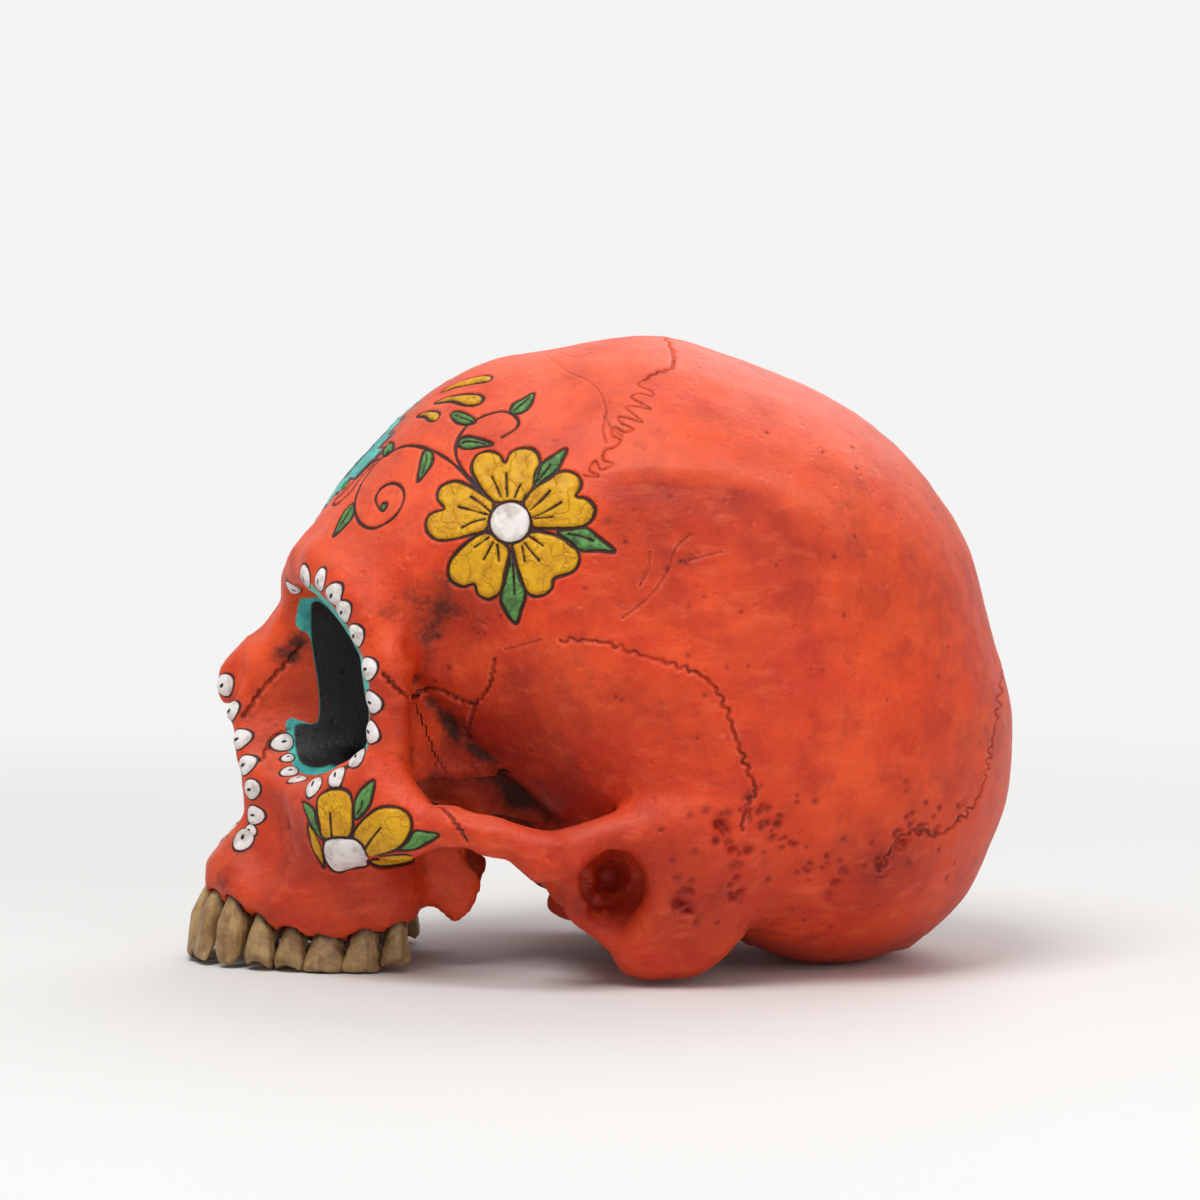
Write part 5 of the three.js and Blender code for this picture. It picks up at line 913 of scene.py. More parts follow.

# %% Smudges and spots of painted shade
# Dark spots that are partly dark paint and partly painted shade.
SMUDGES_AND_SHADE = [  # picture place, radius in pixels, strength
    (620, 890, 26, 0.3), (470, 760, 30, 0.5), (500, 720, 30, 0.35), (860, 560, 50, 0.14),
    (780, 640, 60, 0.22), (600, 520, 36, 0.25), (330, 800, 26, 0.25), (360, 860, 30, 0.22),
    (240, 850, 22, 0.2), (400, 610, 26, 0.35), (430, 700, 24, 0.3), (460, 650, 40, 0.45),
    (540, 650, 46, 0.35), (410, 760, 22, 0.4), (300, 860, 30, 0.25), (270, 880, 26, 0.25),
    (390, 870, 24, 0.3), (450, 890, 24, 0.4), (395, 840, 16, 0.5), (270, 760, 16, 0.4), (255, 790, 14, 0.4),
    (310, 820, 26, 0.3), (560, 760, 44, 0.3), (420, 530, 26, 0.3), (350, 560, 30, 0.25),
    (380, 500, 22, 0.22), (640, 470, 30, 0.25), (560, 600, 40, 0.3), (600, 560, 30, 0.3),
    (448, 602, 36, 0.75), (430, 636, 30, 0.8), (482, 628, 26, 0.6), (412, 598, 24, 0.6),
    (398, 692, 12, 0.5), (300, 640, 13, 0.9), (293, 657, 11, 0.9), (262, 700, 11, 0.6), (245, 715, 9, 0.6),
    (850, 500, 34, 0.16), (690, 560, 24, 0.3), (585, 905, 20, 0.5), (540, 700, 40, 0.3),
    (720, 620, 60, 0.15), (640, 560, 30, 0.2), (610, 395, 22, 0.3), (760, 420, 40, 0.12),
    (910, 640, 50, 0.12), (800, 760, 60, 0.15), (462, 725, 24, 0.65), (488, 769, 26, 0.8),
    (440, 787, 18, 0.7), (530, 775, 40, 0.55), (505, 800, 30, 0.7), (281, 655, 16, 0.7),
    (250, 712, 14, 0.6), (270, 740, 20, 0.5), (225, 880, 20, 0.4), (350, 905, 40, 0.3),
]
# Painted shade: deep red spots in the temple, round the ear, under the cheek arch and on the lower parts.
SHADE_REDS = [
    (620, 888, 34, 1.0), (640, 560, 70, 0.45), (700, 530, 60, 0.4), (780, 560, 60, 0.45),
    (760, 640, 60, 0.25), (470, 610, 40, 0.6), (440, 640, 40, 0.5), (300, 700, 30, 0.6),
    (330, 840, 40, 0.35), (690, 900, 50, 0.5), (500, 740, 62, 0.9), (560, 792, 45, 0.9),
    (450, 760, 34, 0.7), (870, 590, 36, 0.4), (880, 870, 40, 0.6), (905, 858, 26, 0.6),
    (640, 740, 70, 0.35), (700, 900, 60, 0.4), (520, 690, 40, 0.5), (350, 880, 40, 0.3),
    (290, 850, 60, 0.4), (400, 700, 40, 0.4), (660, 860, 60, 0.45), (600, 905, 34, 0.9),
]


def smudged(rows):
    total = np.zeros(len(picture))
    for px, py, size, strength in rows:
        far = np.hypot(picture[:, 0] - px, picture[:, 1] - py) / size
        total = np.maximum(total, strength * bell(far) * (towards > -0.1))
    return total


mottle = np.array([noise.fractal(Vector(p) * 0.09, 0.9, 2.1, 4) for p in points])
tooth_spots = tree_of([tuple(v.co / MM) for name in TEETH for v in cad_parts[name].data.vertices])
mouth = np.nonzero((points[:, 2] < 24) & (points[:, 1] < -38))[0]
by_teeth = np.full(len(points), FAR_OFF)
by_teeth[mouth] = near_to(tooth_spots, points[mouth], 5.0)[0]

# Dark wash with painted shade: darker in the hollows of the skin and in the smudges.
wash = ease((hollow - 0.15) / 0.7) * 0.55 + smudged(SMUDGES_AND_SHADE) * (0.75 + 0.6 * mottle)
wash = np.maximum(wash, 0.4 * ease((0.5 - fields["seam"]) / 1.0) * (0.8 + 0.8 * mottle))
# Painted shade on the gum round the teeth.
wash = np.maximum(wash, ease((2.4 - by_teeth) / 2.0) * 0.85)
wash = np.clip(wash + 0.25 * ease(mottle - 0.15), 0, 1)
ear_far = np.hypot(picture[:, 0] - 620, picture[:, 1] - 888) / 40.0
wash *= 1.0 - 0.6 * np.exp(-ear_far ** 4) * (towards > -0.3)
print("wash mean", wash.mean().round(3))

# %% [markdown]
# ## The temporal line
# A long soft crest runs back from the forehead. Above it the paint is lighter, a painted highlight, and
# below it a deeper red, a painted shade, and the relief gets a gentle step there. The painted highlight
# also lies on faces that turn up, and the painted shade on the lower parts.

# %% Crest, painted shade in deep red and painted highlight
CREST = curve(whole(592, 482, 640, 476, 700, 478, 760, 490, 810, 520, 850, 560))
crest_far, crest_at = near_to(tree_of([(px, py, 0.0) for px, py in CREST]), flat_picture, 90.0)
below = picture[:, 1] - CREST[crest_at, 1]
run = crest_at / len(CREST)
crest = (towards > 0.1) & (left[:, 2] > 70)
crest = crest * (ease(run / 0.14) * ease((1.0 - run) / 0.2))
under_crest = crest * bell(crest_far / 42.0) * ease(below / 10.0)
over_crest = crest * bell(crest_far / 26.0) * ease(-below / 7.0)
# Painted shade: a deeper red below the crest, in the deep red spots and towards the bottom of the skull.
deep = 0.55 * under_crest * (1 + mottle) + smudged(SHADE_REDS) + 0.35 * ease((62 - points[:, 2]) / 60)
# Painted highlight: the paint is lighter above the crest and wherever the skin faces up, where the light
# from above falls.
light = 0.5 * over_crest + ease((facing[:, 2] - 0.15) / 0.9) * (0.7 + 0.5 * mottle)
deep, light = np.clip(deep, 0, 1), np.clip(light, 0, 1)
print("deep red mean", deep.mean().round(3), "light mean", light.mean().round(3))

# %% [markdown]
# ## Engraving the skin
# Lines are sunk and their edges stand up a little, as when a graver pushes soft resin aside. Petals,
# leaves and beads stand proud. Pits lie behind the ear and along the back, as in the photograph, and
# slow waves keep the braincase from looking turned.

# %% Relief
INK_DEPTH, INK_LIP, SEAM_LIP, ROOM = 0.32, 0.14, 0.16, 0.05
RIDGES = [  # course, height and width in mm
    (whole(478, 530, 445, 556, 418, 588, 402, 622, 392, 655), 0.9, 2.4),
    (whole(640, 476, 700, 478, 760, 490, 800, 514), 0.45, 3.5),
    (whole(735, 938, 770, 930, 800, 936, 828, 930), 0.5, 1.4),
    (whole(742, 945, 775, 940, 806, 946), 0.4, 1.2),
    (whole(870, 872, 900, 866, 930, 872, 950, 868), 0.5, 2.0),
    (whole(905, 855, 930, 850, 955, 845), 0.4, 1.8),
]
relief = -INK_DEPTH * bell(np.maximum(fields["ink"] + 0.46, 0) / 0.55)
relief += INK_LIP * bell((fields["ink"] - 0.75) / 0.45)
relief += 0.9 * over_crest - 0.7 * under_crest
relief -= deepness * bell(np.maximum(fields["seam"] + 0.45, 0) / 0.6)
relief += SEAM_LIP * deepness * bell((fields["seam"] - 0.9) / 0.5)
relief += 0.30 * ease(-fields["yellow"] / 1.4) + 0.16 * ease(-fields["green"] / 1.2)
relief += 0.5 * ease(-fields["white"] / 3.0) + 0.6 * dome
for line, height, width in RIDGES:
    far, _ = near_to(tree_of(laid(curve(line), CRACK_X)), left, 8.0)
    relief += height * bell(far / width) * (towards > -0.1)
for spot, (_, _, height, width) in zip(lump_spots, LUMPS):
    relief += height * bell(np.linalg.norm(left - spot, axis=1) / width)

pit_mask, pit_shade = np.zeros(len(points)), np.zeros(len(points))
for spot, size, depth in pits:
    hole = bell(np.linalg.norm(left - spot, axis=1) / size)
    relief -= depth * hole
    pit_mask = np.maximum(pit_mask, hole)
    pit_shade = np.maximum(pit_shade, hole * min(depth, 1.0))
# Painted shade in the pits: more of the dark wash and deep red there.
fields["wash"] = np.clip(wash + 0.25 * pit_mask + 0.15 * pit_shade, 0, 1)
fields["deep"], fields["light"] = np.clip(deep + 0.8 * pit_mask, 0, 1), light

slow, middling = ripples(points, 0.045, (3, 5, 7)), ripples(points, 0.11, (1, 8, 2))
relief += 0.35 * slow + 0.2 * middling + 0.09 * ripples(points, 0.28) - 0.2
lowest, highest = (np.array(v) / MM for v in cad_box)
raised = np.clip(points + facing * relief[:, None], lowest + ROOM, highest - ROOM)
move_to(skin, raised)
gum = tree_of(raised[(raised[:, 2] < 34) & (raised[:, 1] < -36)])
for name, value in fields.items():
    store(skin, name, value)
print("relief from", relief.min().round(2), "to", relief.max().round(2), "mm")

# %% [markdown]
# ## Paint
# The cast is brushed orange-red, thin enough for the strokes to show, then wiped with dark paint, and
# its hollows get painted shade. The ornament is opaque craft paint with fine cracks in the yellow.
# Three effects serve the bones, the teeth and the thin inner plates alike, so each is a node group:
# brush marks, a darkening for the dark wash and painted shade, and a paint patch that is cut from a
# measured field.

# %% Paint helpers
def paint(red, green, blue):
    """A linear colour from the values of a paint chip."""
    chip = np.array((red, green, blue)) / 255.0
    line = np.where(chip <= 0.04045, chip / 12.92, ((chip + 0.055) / 1.055) ** 2.4)
    return (*line.tolist(), 1.0)


def group(title, inputs, outputs):
    """A shader node group with named sockets; returns it with its inner inputs and outputs."""
    tree = bpy.data.node_groups.new(title, "ShaderNodeTree")
    for name, value in inputs.items():
        kind = "NodeSocketColor" if value is None else "NodeSocketFloat"
        socket = tree.interface.new_socket(name, in_out="INPUT", socket_type=kind)
        if value is not None:
            socket.default_value = value
    for name, kind in outputs.items():
        tree.interface.new_socket(name, in_out="OUTPUT", socket_type=f"NodeSocket{kind}")
    return tree, tree.nodes.new("NodeGroupInput").outputs, tree.nodes.new("NodeGroupOutput").inputs


def wire(value, socket):
    """Feeds a socket from another socket, or sets it to a value."""
    if isinstance(value, bpy.types.NodeSocket):
        socket.id_data.links.new(value, socket)
    else:
        socket.default_value = value


def put(tree, kind, **values):
    """Adds a node; values name its properties or, with spaces written as _, its inputs."""
    node = tree.nodes.new(kind)
    for key, value in values.items():
        if hasattr(node, key):
            setattr(node, key, value)
        else:
            wire(value, node.inputs[key.replace("_", " ")])
    return node


def ramp(source, low, high, to_low=0.0, to_high=1.0):
    """A smooth step of a value from one range to another."""
    return put(source.id_data, "ShaderNodeMapRange", interpolation_type="SMOOTHSTEP", Value=source,
               From_Min=low, From_Max=high, To_Min=to_low, To_Max=to_high).outputs["Result"]


def calc(operation, first, second=None):
    """A sum, product or the like of one or two values; the first is a socket."""
    node = put(first.id_data, "ShaderNodeMath", operation=operation)
    for value, socket in zip((first, second), node.inputs):
        if value is not None:
            wire(value, socket)
    return node.outputs[0]


plus, minus, times = (partial(calc, word) for word in ("ADD", "SUBTRACT", "MULTIPLY"))


def off(source, middle):
    """How far a value lies from a middle one."""
    return calc("ABSOLUTE", minus(source, middle))


def blend(share, under, over):
    """Mixes two colours; each may be a socket or a colour."""
    node = put(share.id_data, "ShaderNodeMix", data_type="RGBA")
    for value, place in ((share, 0), (under, 6), (over, 7)):
        wire(value, node.inputs[place])
    return node.outputs[2]


def field(tree, name):
    return put(tree, "ShaderNodeAttribute", attribute_name=name).outputs["Fac"]


def grain(tree, scale, detail=4.0, rough=0.55, stretch=None, turn=(0.0, 0.0, 0.0)):
    """Noise in the object's own space; stretch pulls it out along an axis."""
    spot = put(tree, "ShaderNodeTexCoord").outputs["Object"]
    if stretch:
        spot = put(tree, "ShaderNodeMapping", Vector=spot, Scale=stretch, Rotation=turn).outputs["Vector"]
    node = put(tree, "ShaderNodeTexNoise", Vector=spot, Scale=scale, Detail=detail, Roughness=rough)
    return node.outputs["Fac"]


def cells(tree, **values):
    """Distances in a pattern of irregular cells."""
    spot = put(tree, "ShaderNodeTexCoord").outputs["Object"]
    return put(tree, "ShaderNodeTexVoronoi", Vector=spot, **values).outputs["Distance"]


def placed(tree, inner, **values):
    """Places a group in a material; values go to its named inputs."""
    node = tree.nodes.new("ShaderNodeGroup")
    node.node_tree = inner
    for key, value in values.items():
        wire(value, node.inputs[key])
    return node.outputs


print("paint helpers ready")

# %% Effects that several paints share
brush, taken, given = group("brush_marks", {"Length": 1.0}, {"Streaks": "Float", "Height": "Float"})
streaks = grain(brush, 260.0, 5.0, 0.6, (1.0, 0.35, 1.0), (0.5, 0.0, 0.3))
fine, speck = grain(brush, 1500.0, 3.0, 0.7), grain(brush, 620.0, 4.0, 0.65)
wire(times(streaks, taken["Length"]), given["Streaks"])
wire(plus(plus(times(streaks, 0.5), times(fine, 0.3)), times(speck, 0.5)), given["Height"])

patch, taken, given = group(
    "paint_patch",
    {"Under": None, "Paint": None, "Distance": 1.0, "Softness": 0.12, "Raggedness": 0.15, "Cover": 1.0},
    {"Color": "Color", "Mask": "Float"})
ragged = times(minus(grain(patch, 900.0, 3.0, 0.6), 0.5), taken["Raggedness"])
share = calc("DIVIDE", times(plus(taken["Distance"], ragged), -1.0), taken["Softness"])
share = times(ramp(share, -1.0, 1.0), taken["Cover"])
wire(blend(share, taken["Under"], taken["Paint"]), given["Color"])
wire(share, given["Mask"])

# Darkening towards a wash colour: the dark wash and the painted shade of hollows, pits and gaps all go
# through it.
darkening, taken, given = group("dark_wash", {"Color": None, "Wash": None, "Amount": 0.0, "Mottle": 1.0},
                            {"Color": "Color", "Mask": "Float"})
cloud = minus(grain(darkening, 120.0, 8.0, 0.74, (1.0, 0.6, 1.0), (0.4, 0.0, 0.2)), 0.5)
speckle = minus(grain(darkening, 800.0, 5.0, 0.78), 0.5)
uneven = times(plus(times(cloud, 0.95), times(speckle, 0.85)), taken["Mottle"])
mask = ramp(plus(taken["Amount"], uneven), 0.16, 0.95)
wire(blend(mask, taken["Color"], taken["Wash"]), given["Color"])
wire(mask, given["Mask"])
print([g.name for g in bpy.data.node_groups])


def new_paint(title):
    """A new material, its node tree and its brush marks."""
    made = bpy.data.materials.new(title)
    made.use_nodes = True
    return made, made.node_tree, placed(made.node_tree, brush, Length=1.0)


def finish_paint(tree, color, rough, height, strength, depth, gloss):
    """Feeds the material's own shader with colour, roughness, relief and gloss."""
    bump = put(tree, "ShaderNodeBump", Strength=strength, Distance=depth, Height=height)
    shader = tree.nodes["Principled BSDF"]
    for name, value in (("Base Color", color), ("Roughness", rough), ("Normal", bump.outputs["Normal"]),
                        ("Specular IOR Level", gloss)):
        wire(value, shader.inputs[name])


def two_tone(tree, scale, detail, rough, low, high, one, other):
    """Two chips of a paint in soft clouds."""
    return blend(ramp(grain(tree, scale, detail, rough), low, high), paint(*one), paint(*other))


# %% [markdown]
# ## The painted cast
# The ground is two oranges in clouds. Red, a painted highlight on upward faces and above the crest, deep
# red painted shade, smoke, blush, dust, streaks and painted highlights on the raised edges of seams and
# lines lie over it in turn, then the dark wash with painted shade, the flat paints of the ornament, and
# last the seams, the black, the beads and the ink.

# %% The painted cast
painted, tree, marks = new_paint("painted_cast")
streaky = ramp(marks["Streaks"], 0.5, 0.72)
# Painted highlights along the raised edges of the ink lines and of the seams, broken into noisy patches.
patchy = ramp(grain(tree, 340.0, 4.0, 0.7), 0.42, 0.62)
ink_lip_highlight, seam_lip_highlight = (times(ramp(off(field(tree, name), middle), 0.4, 0.0), patchy)
                 for name, middle in (("ink", 0.55), ("seam", 0.5)))
color = two_tone(tree, 38.0, 5.0, 0.6, 0.35, 0.65, (214, 62, 20), (228, 78, 30))
for mask, share, chip in (
    (ramp(grain(tree, 95.0, 6.0, 0.65), 0.42, 0.66), 0.55, (172, 38, 16)),
    # painted highlight: lighter coral on upward faces and above the crest
    (field(tree, "light"), 0.6, (240, 112, 80)),
    # painted shade: deep red below the crest, low down, in hollows and pits
    (field(tree, "deep"), 0.85, (140, 26, 13)),
    (ramp(grain(tree, 26.0, 6.0, 0.7, (1.0, 1.4, 0.8), (0.3, 0.2, 0.5)), 0.5, 0.74), 0.42, (132, 56, 42)),
    (ramp(grain(tree, 55.0, 4.0, 0.6, (1.0, 0.7, 1.3), (0.0, 0.6, 0.1)), 0.52, 0.7), 0.45, (198, 44, 22)),
    (ramp(grain(tree, 1100.0, 3.0, 0.75), 0.6, 0.74), 0.35, (120, 36, 24)),
    # the last two are painted highlights on the raised edges of seams and ink lines
    (streaky, 0.3, (236, 104, 62)), (seam_lip_highlight, 0.35, (232, 110, 84)), (ink_lip_highlight, 0.3, (226, 110, 82)),
):
    color = blend(times(mask, share), color, paint(*chip))
# Dark wash and painted shade in hollows, smudges, pits and round the teeth.
wash = placed(tree, darkening, Color=color, Wash=paint(56, 22, 16), Amount=field(tree, "wash"), Mottle=1.0)
color = wash["Color"]

cracks = ramp(cells(tree, feature="DISTANCE_TO_EDGE", Scale=620.0), 0.0, 0.09, 1.0, 0.0)
mustard = two_tone(tree, 240.0, 5.0, 0.65, 0.4, 0.68, (218, 164, 16), (194, 136, 12))
mustard = blend(times(cracks, 0.14), mustard, paint(134, 72, 26))
leaf = two_tone(tree, 300.0, 4.0, 0.6, 0.4, 0.66, (84, 146, 76), (50, 98, 52))
chalk = two_tone(tree, 260.0, 4.0, 0.6, 0.42, 0.7, (236, 230, 228), (192, 182, 176))
sea = two_tone(tree, 200.0, 5.0, 0.6, 0.4, 0.68, (70, 196, 184), (34, 150, 148))
stone = two_tone(tree, 260.0, 4.0, 0.6, 0.4, 0.7, (74, 72, 78), (44, 42, 48))


def lay_on(color, distance, chip, softness, raggedness, cover):
    return placed(tree, patch, Under=color, Paint=chip, Distance=distance, Softness=softness,
                  Raggedness=raggedness, Cover=cover)["Color"]


for name, chip, softness, raggedness in (
    ("teal", sea, 0.14, 0.35), ("slate", stone, 0.14, 0.2), ("yellow", mustard, 0.12, 0.25),
    ("green", leaf, 0.12, 0.2), ("white", chalk, 0.14, 0.2),
):
    color = lay_on(color, field(tree, name), chip, softness, raggedness, 0.97)
# A weaker second pass of the dark wash and painted shade, over the ornament too.
color = placed(tree, darkening, Color=color, Wash=paint(70, 40, 28), Amount=times(field(tree, "wash"), 0.45),
               Mottle=0.75)["Color"]
ring = minus(off(field(tree, "bead"), 0.2), 0.2)
broken = ramp(grain(tree, 210.0, 4.0, 0.7), 0.36, 0.6, 0.3, 1.0)
for distance, chip, softness, raggedness, cover in (
    (field(tree, "seam"), paint(96, 27, 16), 0.24, 0.6, broken),
    (field(tree, "black"), paint(16, 14, 15), 0.4, 0.16, 1.0),
    (field(tree, "bead"), chalk, 0.12, 0.16, 1.0), (ring, paint(34, 20, 18), 0.12, 0.16, 1.0),
    (field(tree, "dot"), paint(24, 17, 16), 0.12, 0.16, 1.0),
    (field(tree, "ink"), paint(48, 20, 15), 0.12, 0.34, 1.0),
):
    color = lay_on(color, distance, chip, softness, raggedness, cover)

fold = ramp(off(grain(tree, 230.0, 2.0, 0.5), 0.5), 0.0, 0.035, 1.0, 0.0)
thick = calc("MINIMUM", field(tree, "yellow"), field(tree, "green"))
surface = times(marks["Height"], 0.85)
for height, share in (
    (ramp(cells(tree, Scale=210.0, Randomness=1.0), 0.05, 0.2), 0.35),
    (ramp(field(tree, "ink"), -0.25, 0.35), 0.4), (ramp(field(tree, "seam"), -0.3, 0.4), 0.5),
    (ramp(field(tree, "bead"), -0.8, 0.1, 1.0, 0.0), 0.3),
    (times(fold, ramp(thick, -0.9, -0.2, 1.0, 0.0)), 0.45),
):
    surface = plus(surface, times(height, share))
dull = plus(times(marks["Height"], 0.25), times(wash["Mask"], 0.2))
finish_paint(tree, color, plus(dull, 0.3), surface, 0.8, 0.0007, 0.28)
print("painted_cast has", len(tree.nodes), "nodes")

# %% Teeth and the plates inside the nose
enamel, tree, marks = new_paint("painted_tooth")
color = two_tone(tree, 160.0, 5.0, 0.6, 0.35, 0.68, (180, 148, 98), (128, 92, 54))
streak = ramp(grain(tree, 420.0, 4.0, 0.6, (1.0, 1.0, 0.18)), 0.48, 0.7)
color = blend(times(streak, 0.6), color, paint(112, 74, 42))
# Darker necks, partly brown stain and partly painted shade; painted shade between close teeth and on the
# molars.
necks = placed(tree, darkening, Color=color, Wash=paint(62, 34, 20),
               Amount=calc("MAXIMUM", field(tree, "neck"), field(tree, "gap")), Mottle=0.9)
finish_paint(tree, necks["Color"], plus(times(marks["Height"], 0.25), 0.3),
             plus(times(streak, -0.3), marks["Height"]), 0.6, 0.0005, 0.45)

shadowed, tree, marks = new_paint("painted_inner")
color = two_tone(tree, 120.0, 4.0, 0.55, 0.4, 0.65, (60, 26, 20), (34, 18, 15))
# The plates are darkened evenly, with a fixed amount of the darkening group.
inner_darkened = placed(tree, darkening, Color=color, Wash=paint(22, 14, 12), Amount=0.4, Mottle=1.0)
finish_paint(tree, inner_darkened["Color"], plus(times(marks["Height"], 0.3), 0.5), marks["Height"], 0.6, 0.0006, 0.5)
print("three paints ready")

# %% [markdown]
# ## The bones as separate pieces
# The painted skin is cut where the bones meet. Every face goes to the bone whose solid lies nearest,
# and each cut edge is drawn inwards, so that a bone lifted out shows a thick edge and not paper. The
# shading normals are taken from the whole skin before the cut, and no light line shows where two
# pieces touch.

# %% Find the bone that owns each face
cad_points, cad_faces, cad_owner = [], [], []
for index, name in enumerate(BONES):
    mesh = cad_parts[name].data
    first = len(cad_points)
    cad_points.extend(Vector(v.co) / MM for v in mesh.vertices)
    cad_faces.extend(tuple(first + v for v in face.vertices) for face in mesh.polygons)
    cad_owner.extend([index] * len(mesh.polygons))
cad_tree = BVHTree.FromPolygons(cad_points, cad_faces)
owner = np.array([cad_owner[cad_tree.find_nearest(Vector(c))[2]] for c in middles(skin)], np.int32)
skin_normal = skin.data.attributes.new("skin_normal", "FLOAT_VECTOR", "POINT")
skin_normal.data.foreach_set("vector", normals(skin).astype(np.float32).ravel())
print("faces for", len(set(owner.tolist())), "bones")

# %% Cut the skin into bones
EDGE_DEPTH = 2.8
for name in BONES:
    skin.data.materials.append(bpy.data.materials.new(f"cut_{name}"))
skin.data.polygons.foreach_set("material_index", owner)
only(skin)
mode("EDIT")
bpy.ops.mesh.select_all(action="SELECT")
bpy.ops.mesh.separate(type="MATERIAL")
mode("OBJECT")


def thick_edges(obj):
    """Draws the open edges of a piece inwards along the skin's normals."""
    shape = bmesh.new()
    shape.from_mesh(obj.data)
    layer = shape.verts.layers.float_vector["skin_normal"]
    rims = [e for e in shape.edges if e.is_boundary]
    grown = bmesh.ops.extrude_edge_only(shape, edges=rims)["geom"]
    for vert in (g for g in grown if isinstance(g, bmesh.types.BMVert)):
        vert.co -= vert[layer] * EDGE_DEPTH * MM
    shape.to_mesh(obj.data)
    shape.free()


for piece in list(bpy.context.selected_objects):
    name = piece.data.materials[piece.data.polygons[0].material_index].name.removeprefix("cut_")
    thick_edges(piece)
    piece.name = f"painted_{name}"
    piece.data.name = piece.name
    piece.data.materials.clear()
    piece.data.polygons.foreach_set("material_index", np.zeros(len(piece.data.polygons), np.int32))
    dressed(piece, painted)
    kept = read(piece.data.attributes["skin_normal"].data, "vector")
    piece.data.normals_split_custom_set_from_vertices(kept.tolist())
    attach(piece, "root")
    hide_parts(name)
    print(piece.name, len(piece.data.polygons), "faces")
for stray in [m for m in bpy.data.materials if m.name.startswith("cut_")]:
    bpy.data.materials.remove(stray)

# %% [markdown]
# ## Teeth
# The cast teeth are ivory, squarish and a little uneven, with fine upright grooves. They darken round
# their necks, partly brown stain and partly painted shade, and painted shade darkens them where they
# near each other and on the molars. Each one is melted from its solid with a fine remesh, smoothed and
# made fuller towards its tip along the arch. Then it is pressed and scored a little, each from its own
# seed.

# %% Teeth
TOOTH_CELL = 0.36
DENTAL_CENTRE, TIP_FULLNESS, TIP_HEIGHT = np.array((0.0, -62.0)), 0.42, 7.5
NECK_REACH, GAP_REACH, TOOTH_ROUNDS = 2.6, 2.2, 32


def closeness(name, points):
    """How near the neighbouring teeth are, from 0 to 0.8."""
    others = tree_of([tuple(v.co / MM) for other in TEETH if other != name
                      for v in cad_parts[other].data.vertices])
    return 0.8 * ease((GAP_REACH - near_to(others, points, 6.0)[0]) / GAP_REACH)


for index, name in enumerate(TEETH):
    tooth = copied([name], f"worn_{name}")
    remesh(tooth, TOOTH_CELL)
    soften(tooth, TOOTH_ROUNDS)
    points, facing = places(tooth), normals(tooth)
    low, high = points.min(axis=0), points.max(axis=0)
    middle, up = (low + high) / 2, points[:, 2] - low[2]
    from_arch = middle[:2] - DENTAL_CENTRE
    along_arch = np.array((-from_arch[1], from_arch[0])) / np.linalg.norm(from_arch)
    layer, aside = up.astype(int), points[:, :2] @ along_arch
    centre = (np.bincount(layer, aside) / np.maximum(np.bincount(layer), 1))[layer]
    wider = TIP_FULLNESS * (1.0 - ease(up / TIP_HEIGHT))
    points[:, :2] += ((aside - centre) * wider)[:, None] * along_arch
    around = np.arctan2(points[:, 1] - middle[1], points[:, 0] - middle[0])
    score = ripples(np.stack((around * 2.2 + index, up * 0.12, np.full(len(up), index * 3.1)), axis=1), 1.0)
    dents = ripples(points, 0.35, (index, 0, 0))
    crown = 1.0 - ease((up - 8) / 6)
    depth = crown * (-0.16 * np.abs(score) - 0.22 * (dents * 0.5 + 0.5))
    points = np.clip(points + facing * depth[:, None], lowest + ROOM, highest - ROOM)
    move_to(tooth, points)
    to_gum = near_to(gum, points, 12.0)[0]
    # Darker near the gum and in dents: partly brown stain, partly painted shade.
    store(tooth, "neck", ease((NECK_REACH - to_gum) / NECK_REACH) + 0.5 * ease(dents))
    # Painted shade: darker where the neighbours come close, and all molars darker.
    store(tooth, "gap", (0.4 if "molar" in name else 0.14) + closeness(name, points))
    dressed(tooth, enamel)
    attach(tooth, "root")
    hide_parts(name)
print(len(TEETH), "teeth")

# %% [markdown]
# ## The thin bones inside the nose
# The vomer and the two lower conchae are thin curled plates, seen only as dark shapes in the opening
# of the nose. A remesh softens their plain edges.

# %% Inner bones
for name in sorted(INNER):
    plate = copied([name], f"painted_{name}")
    remesh(plate, 0.5)
    soften(plate, 3)
    points, facing = places(plate), normals(plate)
    move_to(plate, points + facing * (0.18 * ripples(points, 0.3) - 0.12)[:, None])
    dressed(plate, shadowed)
    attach(plate, "root")
    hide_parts(name)
print(len(INNER), "inner bones")

# %% [markdown]
# ## Floor, background and light
# A plain pale floor melts into a plain pale surround. The lamps are large and soft, so that the
# engraving shows through soft shadows, and low enough for the paint to come out as it is written.

# %% Stage
BACKDROP = (0.90, 0.90, 0.895, 1.0)
FADE_FROM, FADE_TO = 0.16, 0.75  # distances in metres over which the floor melts into the surround
bpy.ops.object.select_all(action="DESELECT")
bpy.ops.mesh.primitive_plane_add(size=6.0, location=(0.0, 0.0, 0.0))
floor = bpy.context.active_object
floor.name = "floor"
bpy.ops.object.transform_apply(location=True, rotation=True, scale=True)


def shows_backdrop(tree):
    """1 for the rays that see the plain surround, 0 for the light that falls on the pieces."""
    path = put(tree, "ShaderNodeLightPath").outputs
    either = calc("MAXIMUM", path["Is Camera Ray"], path["Is Transmission Ray"])
    return calc("MAXIMUM", either, path["Is Glossy Ray"])


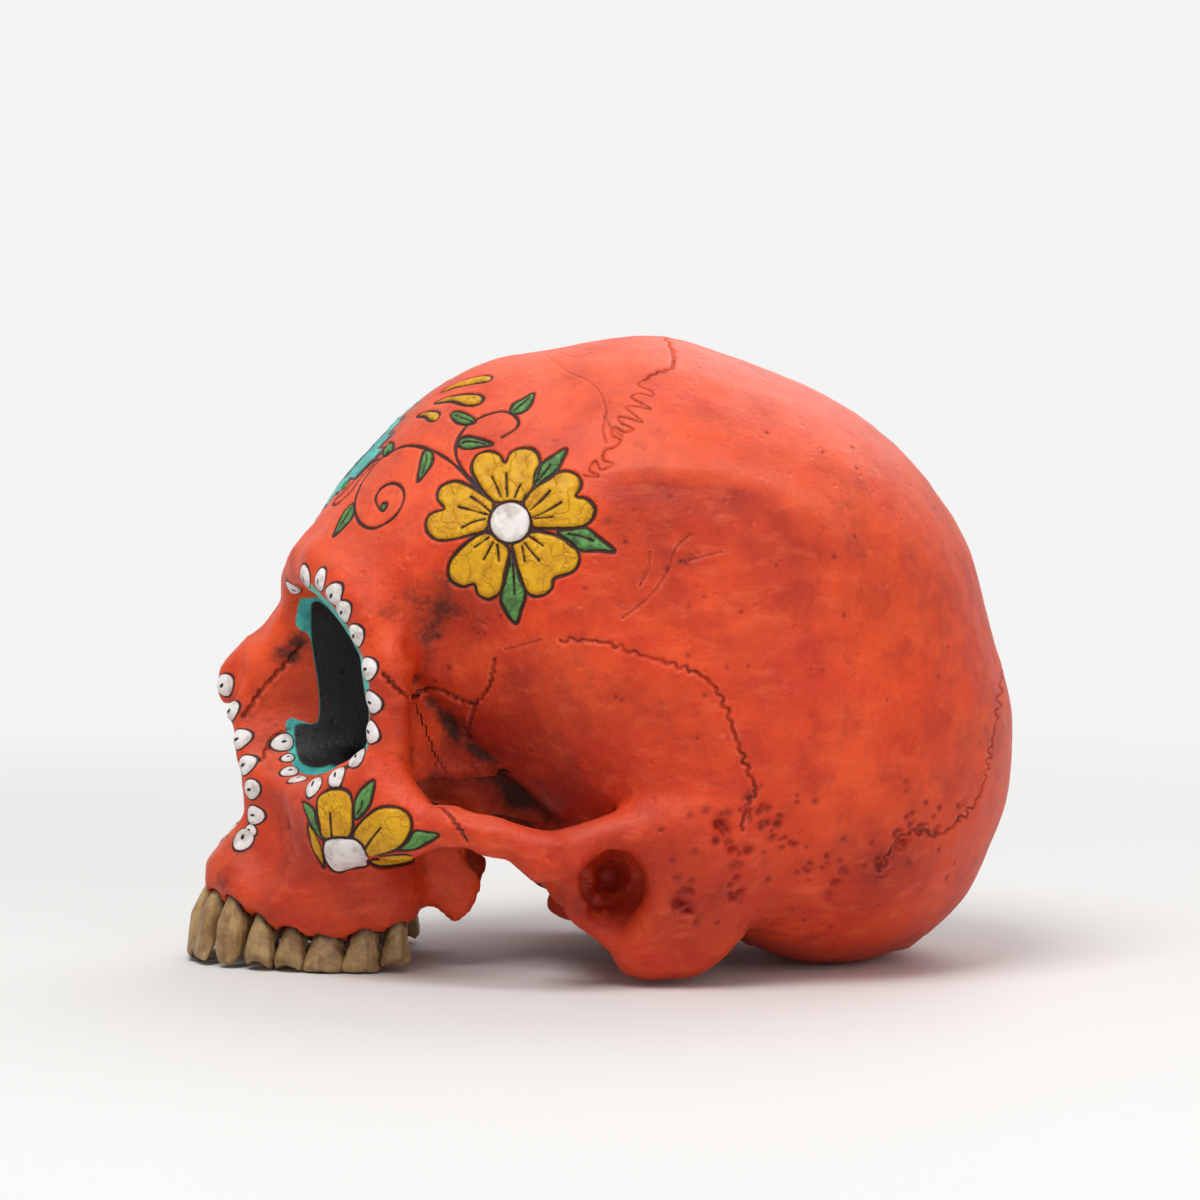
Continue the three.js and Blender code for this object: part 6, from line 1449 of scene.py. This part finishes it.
def melted(tree, share, under, over, out):
    """Mixes two shaders and shows the result."""
    mix = put(tree, "ShaderNodeMixShader")
    for value, socket in zip((share, under, over), mix.inputs):
        wire(value, socket)
    wire(mix.outputs[0], out.inputs["Surface"])


floor_paint = bpy.data.materials.new("pale_floor")
floor_paint.use_nodes = True
floor.data.materials.append(floor_paint)
tree = floor_paint.node_tree
plain = tree.nodes["Principled BSDF"]
plain.inputs["Base Color"].default_value = (0.76, 0.76, 0.75, 1.0)
plain.inputs["Roughness"].default_value = 0.7
from_middle = put(tree, "ShaderNodeVectorMath", operation="LENGTH")
wire(put(tree, "ShaderNodeTexCoord").outputs["Object"], from_middle.inputs[0])
fade = times(ramp(from_middle.outputs["Value"], FADE_FROM, FADE_TO), shows_backdrop(tree))
glow = put(tree, "ShaderNodeEmission", Color=BACKDROP, Strength=1.0)
melted(tree, fade, plain.outputs[0], glow.outputs[0], tree.nodes["Material Output"])

world = bpy.data.worlds.new("studio")
bpy.context.scene.world = world
world.use_nodes = True
tree = world.node_tree
tree.nodes.clear()
lit = put(tree, "ShaderNodeBackground", Color=(1.0, 0.99, 0.97, 1.0), Strength=0.36)
shown = put(tree, "ShaderNodeBackground", Color=BACKDROP, Strength=1.0)
melted(tree, shows_backdrop(tree), lit.outputs[0], shown.outputs[0], put(tree, "ShaderNodeOutputWorld"))


def lamp(title, place, size, power, aim=(0.0, 0.0, 0.08)):
    """A square soft lamp that looks at the skull."""
    data = bpy.data.lights.new(title, "AREA")
    data.shape = "SQUARE"
    data.size = size
    data.energy = power
    obj = linked(title, data)
    obj.location = place
    obj.rotation_euler = (Vector(aim) - Vector(place)).to_track_quat("-Z", "Y").to_euler()


lamp("key_lamp", (0.45, -0.25, 1.05), 0.6, 9.1)
lamp("fill_lamp", (1.0, 0.6, 0.4), 0.8, 3.0)
lamp("far_lamp", (-0.7, 0.4, 0.9), 0.8, 4.6)
print("floor, world and three lamps")

# %% [markdown]
# ## Colours as they are written, sizes and the end
# The standard view shows the paints without a film look. The box of the solids is printed.

# %% The end
bpy.context.scene.view_settings.view_transform = "Standard"
print("box of the solids:", [[round(c, 4) for c in v] for v in cad_box])
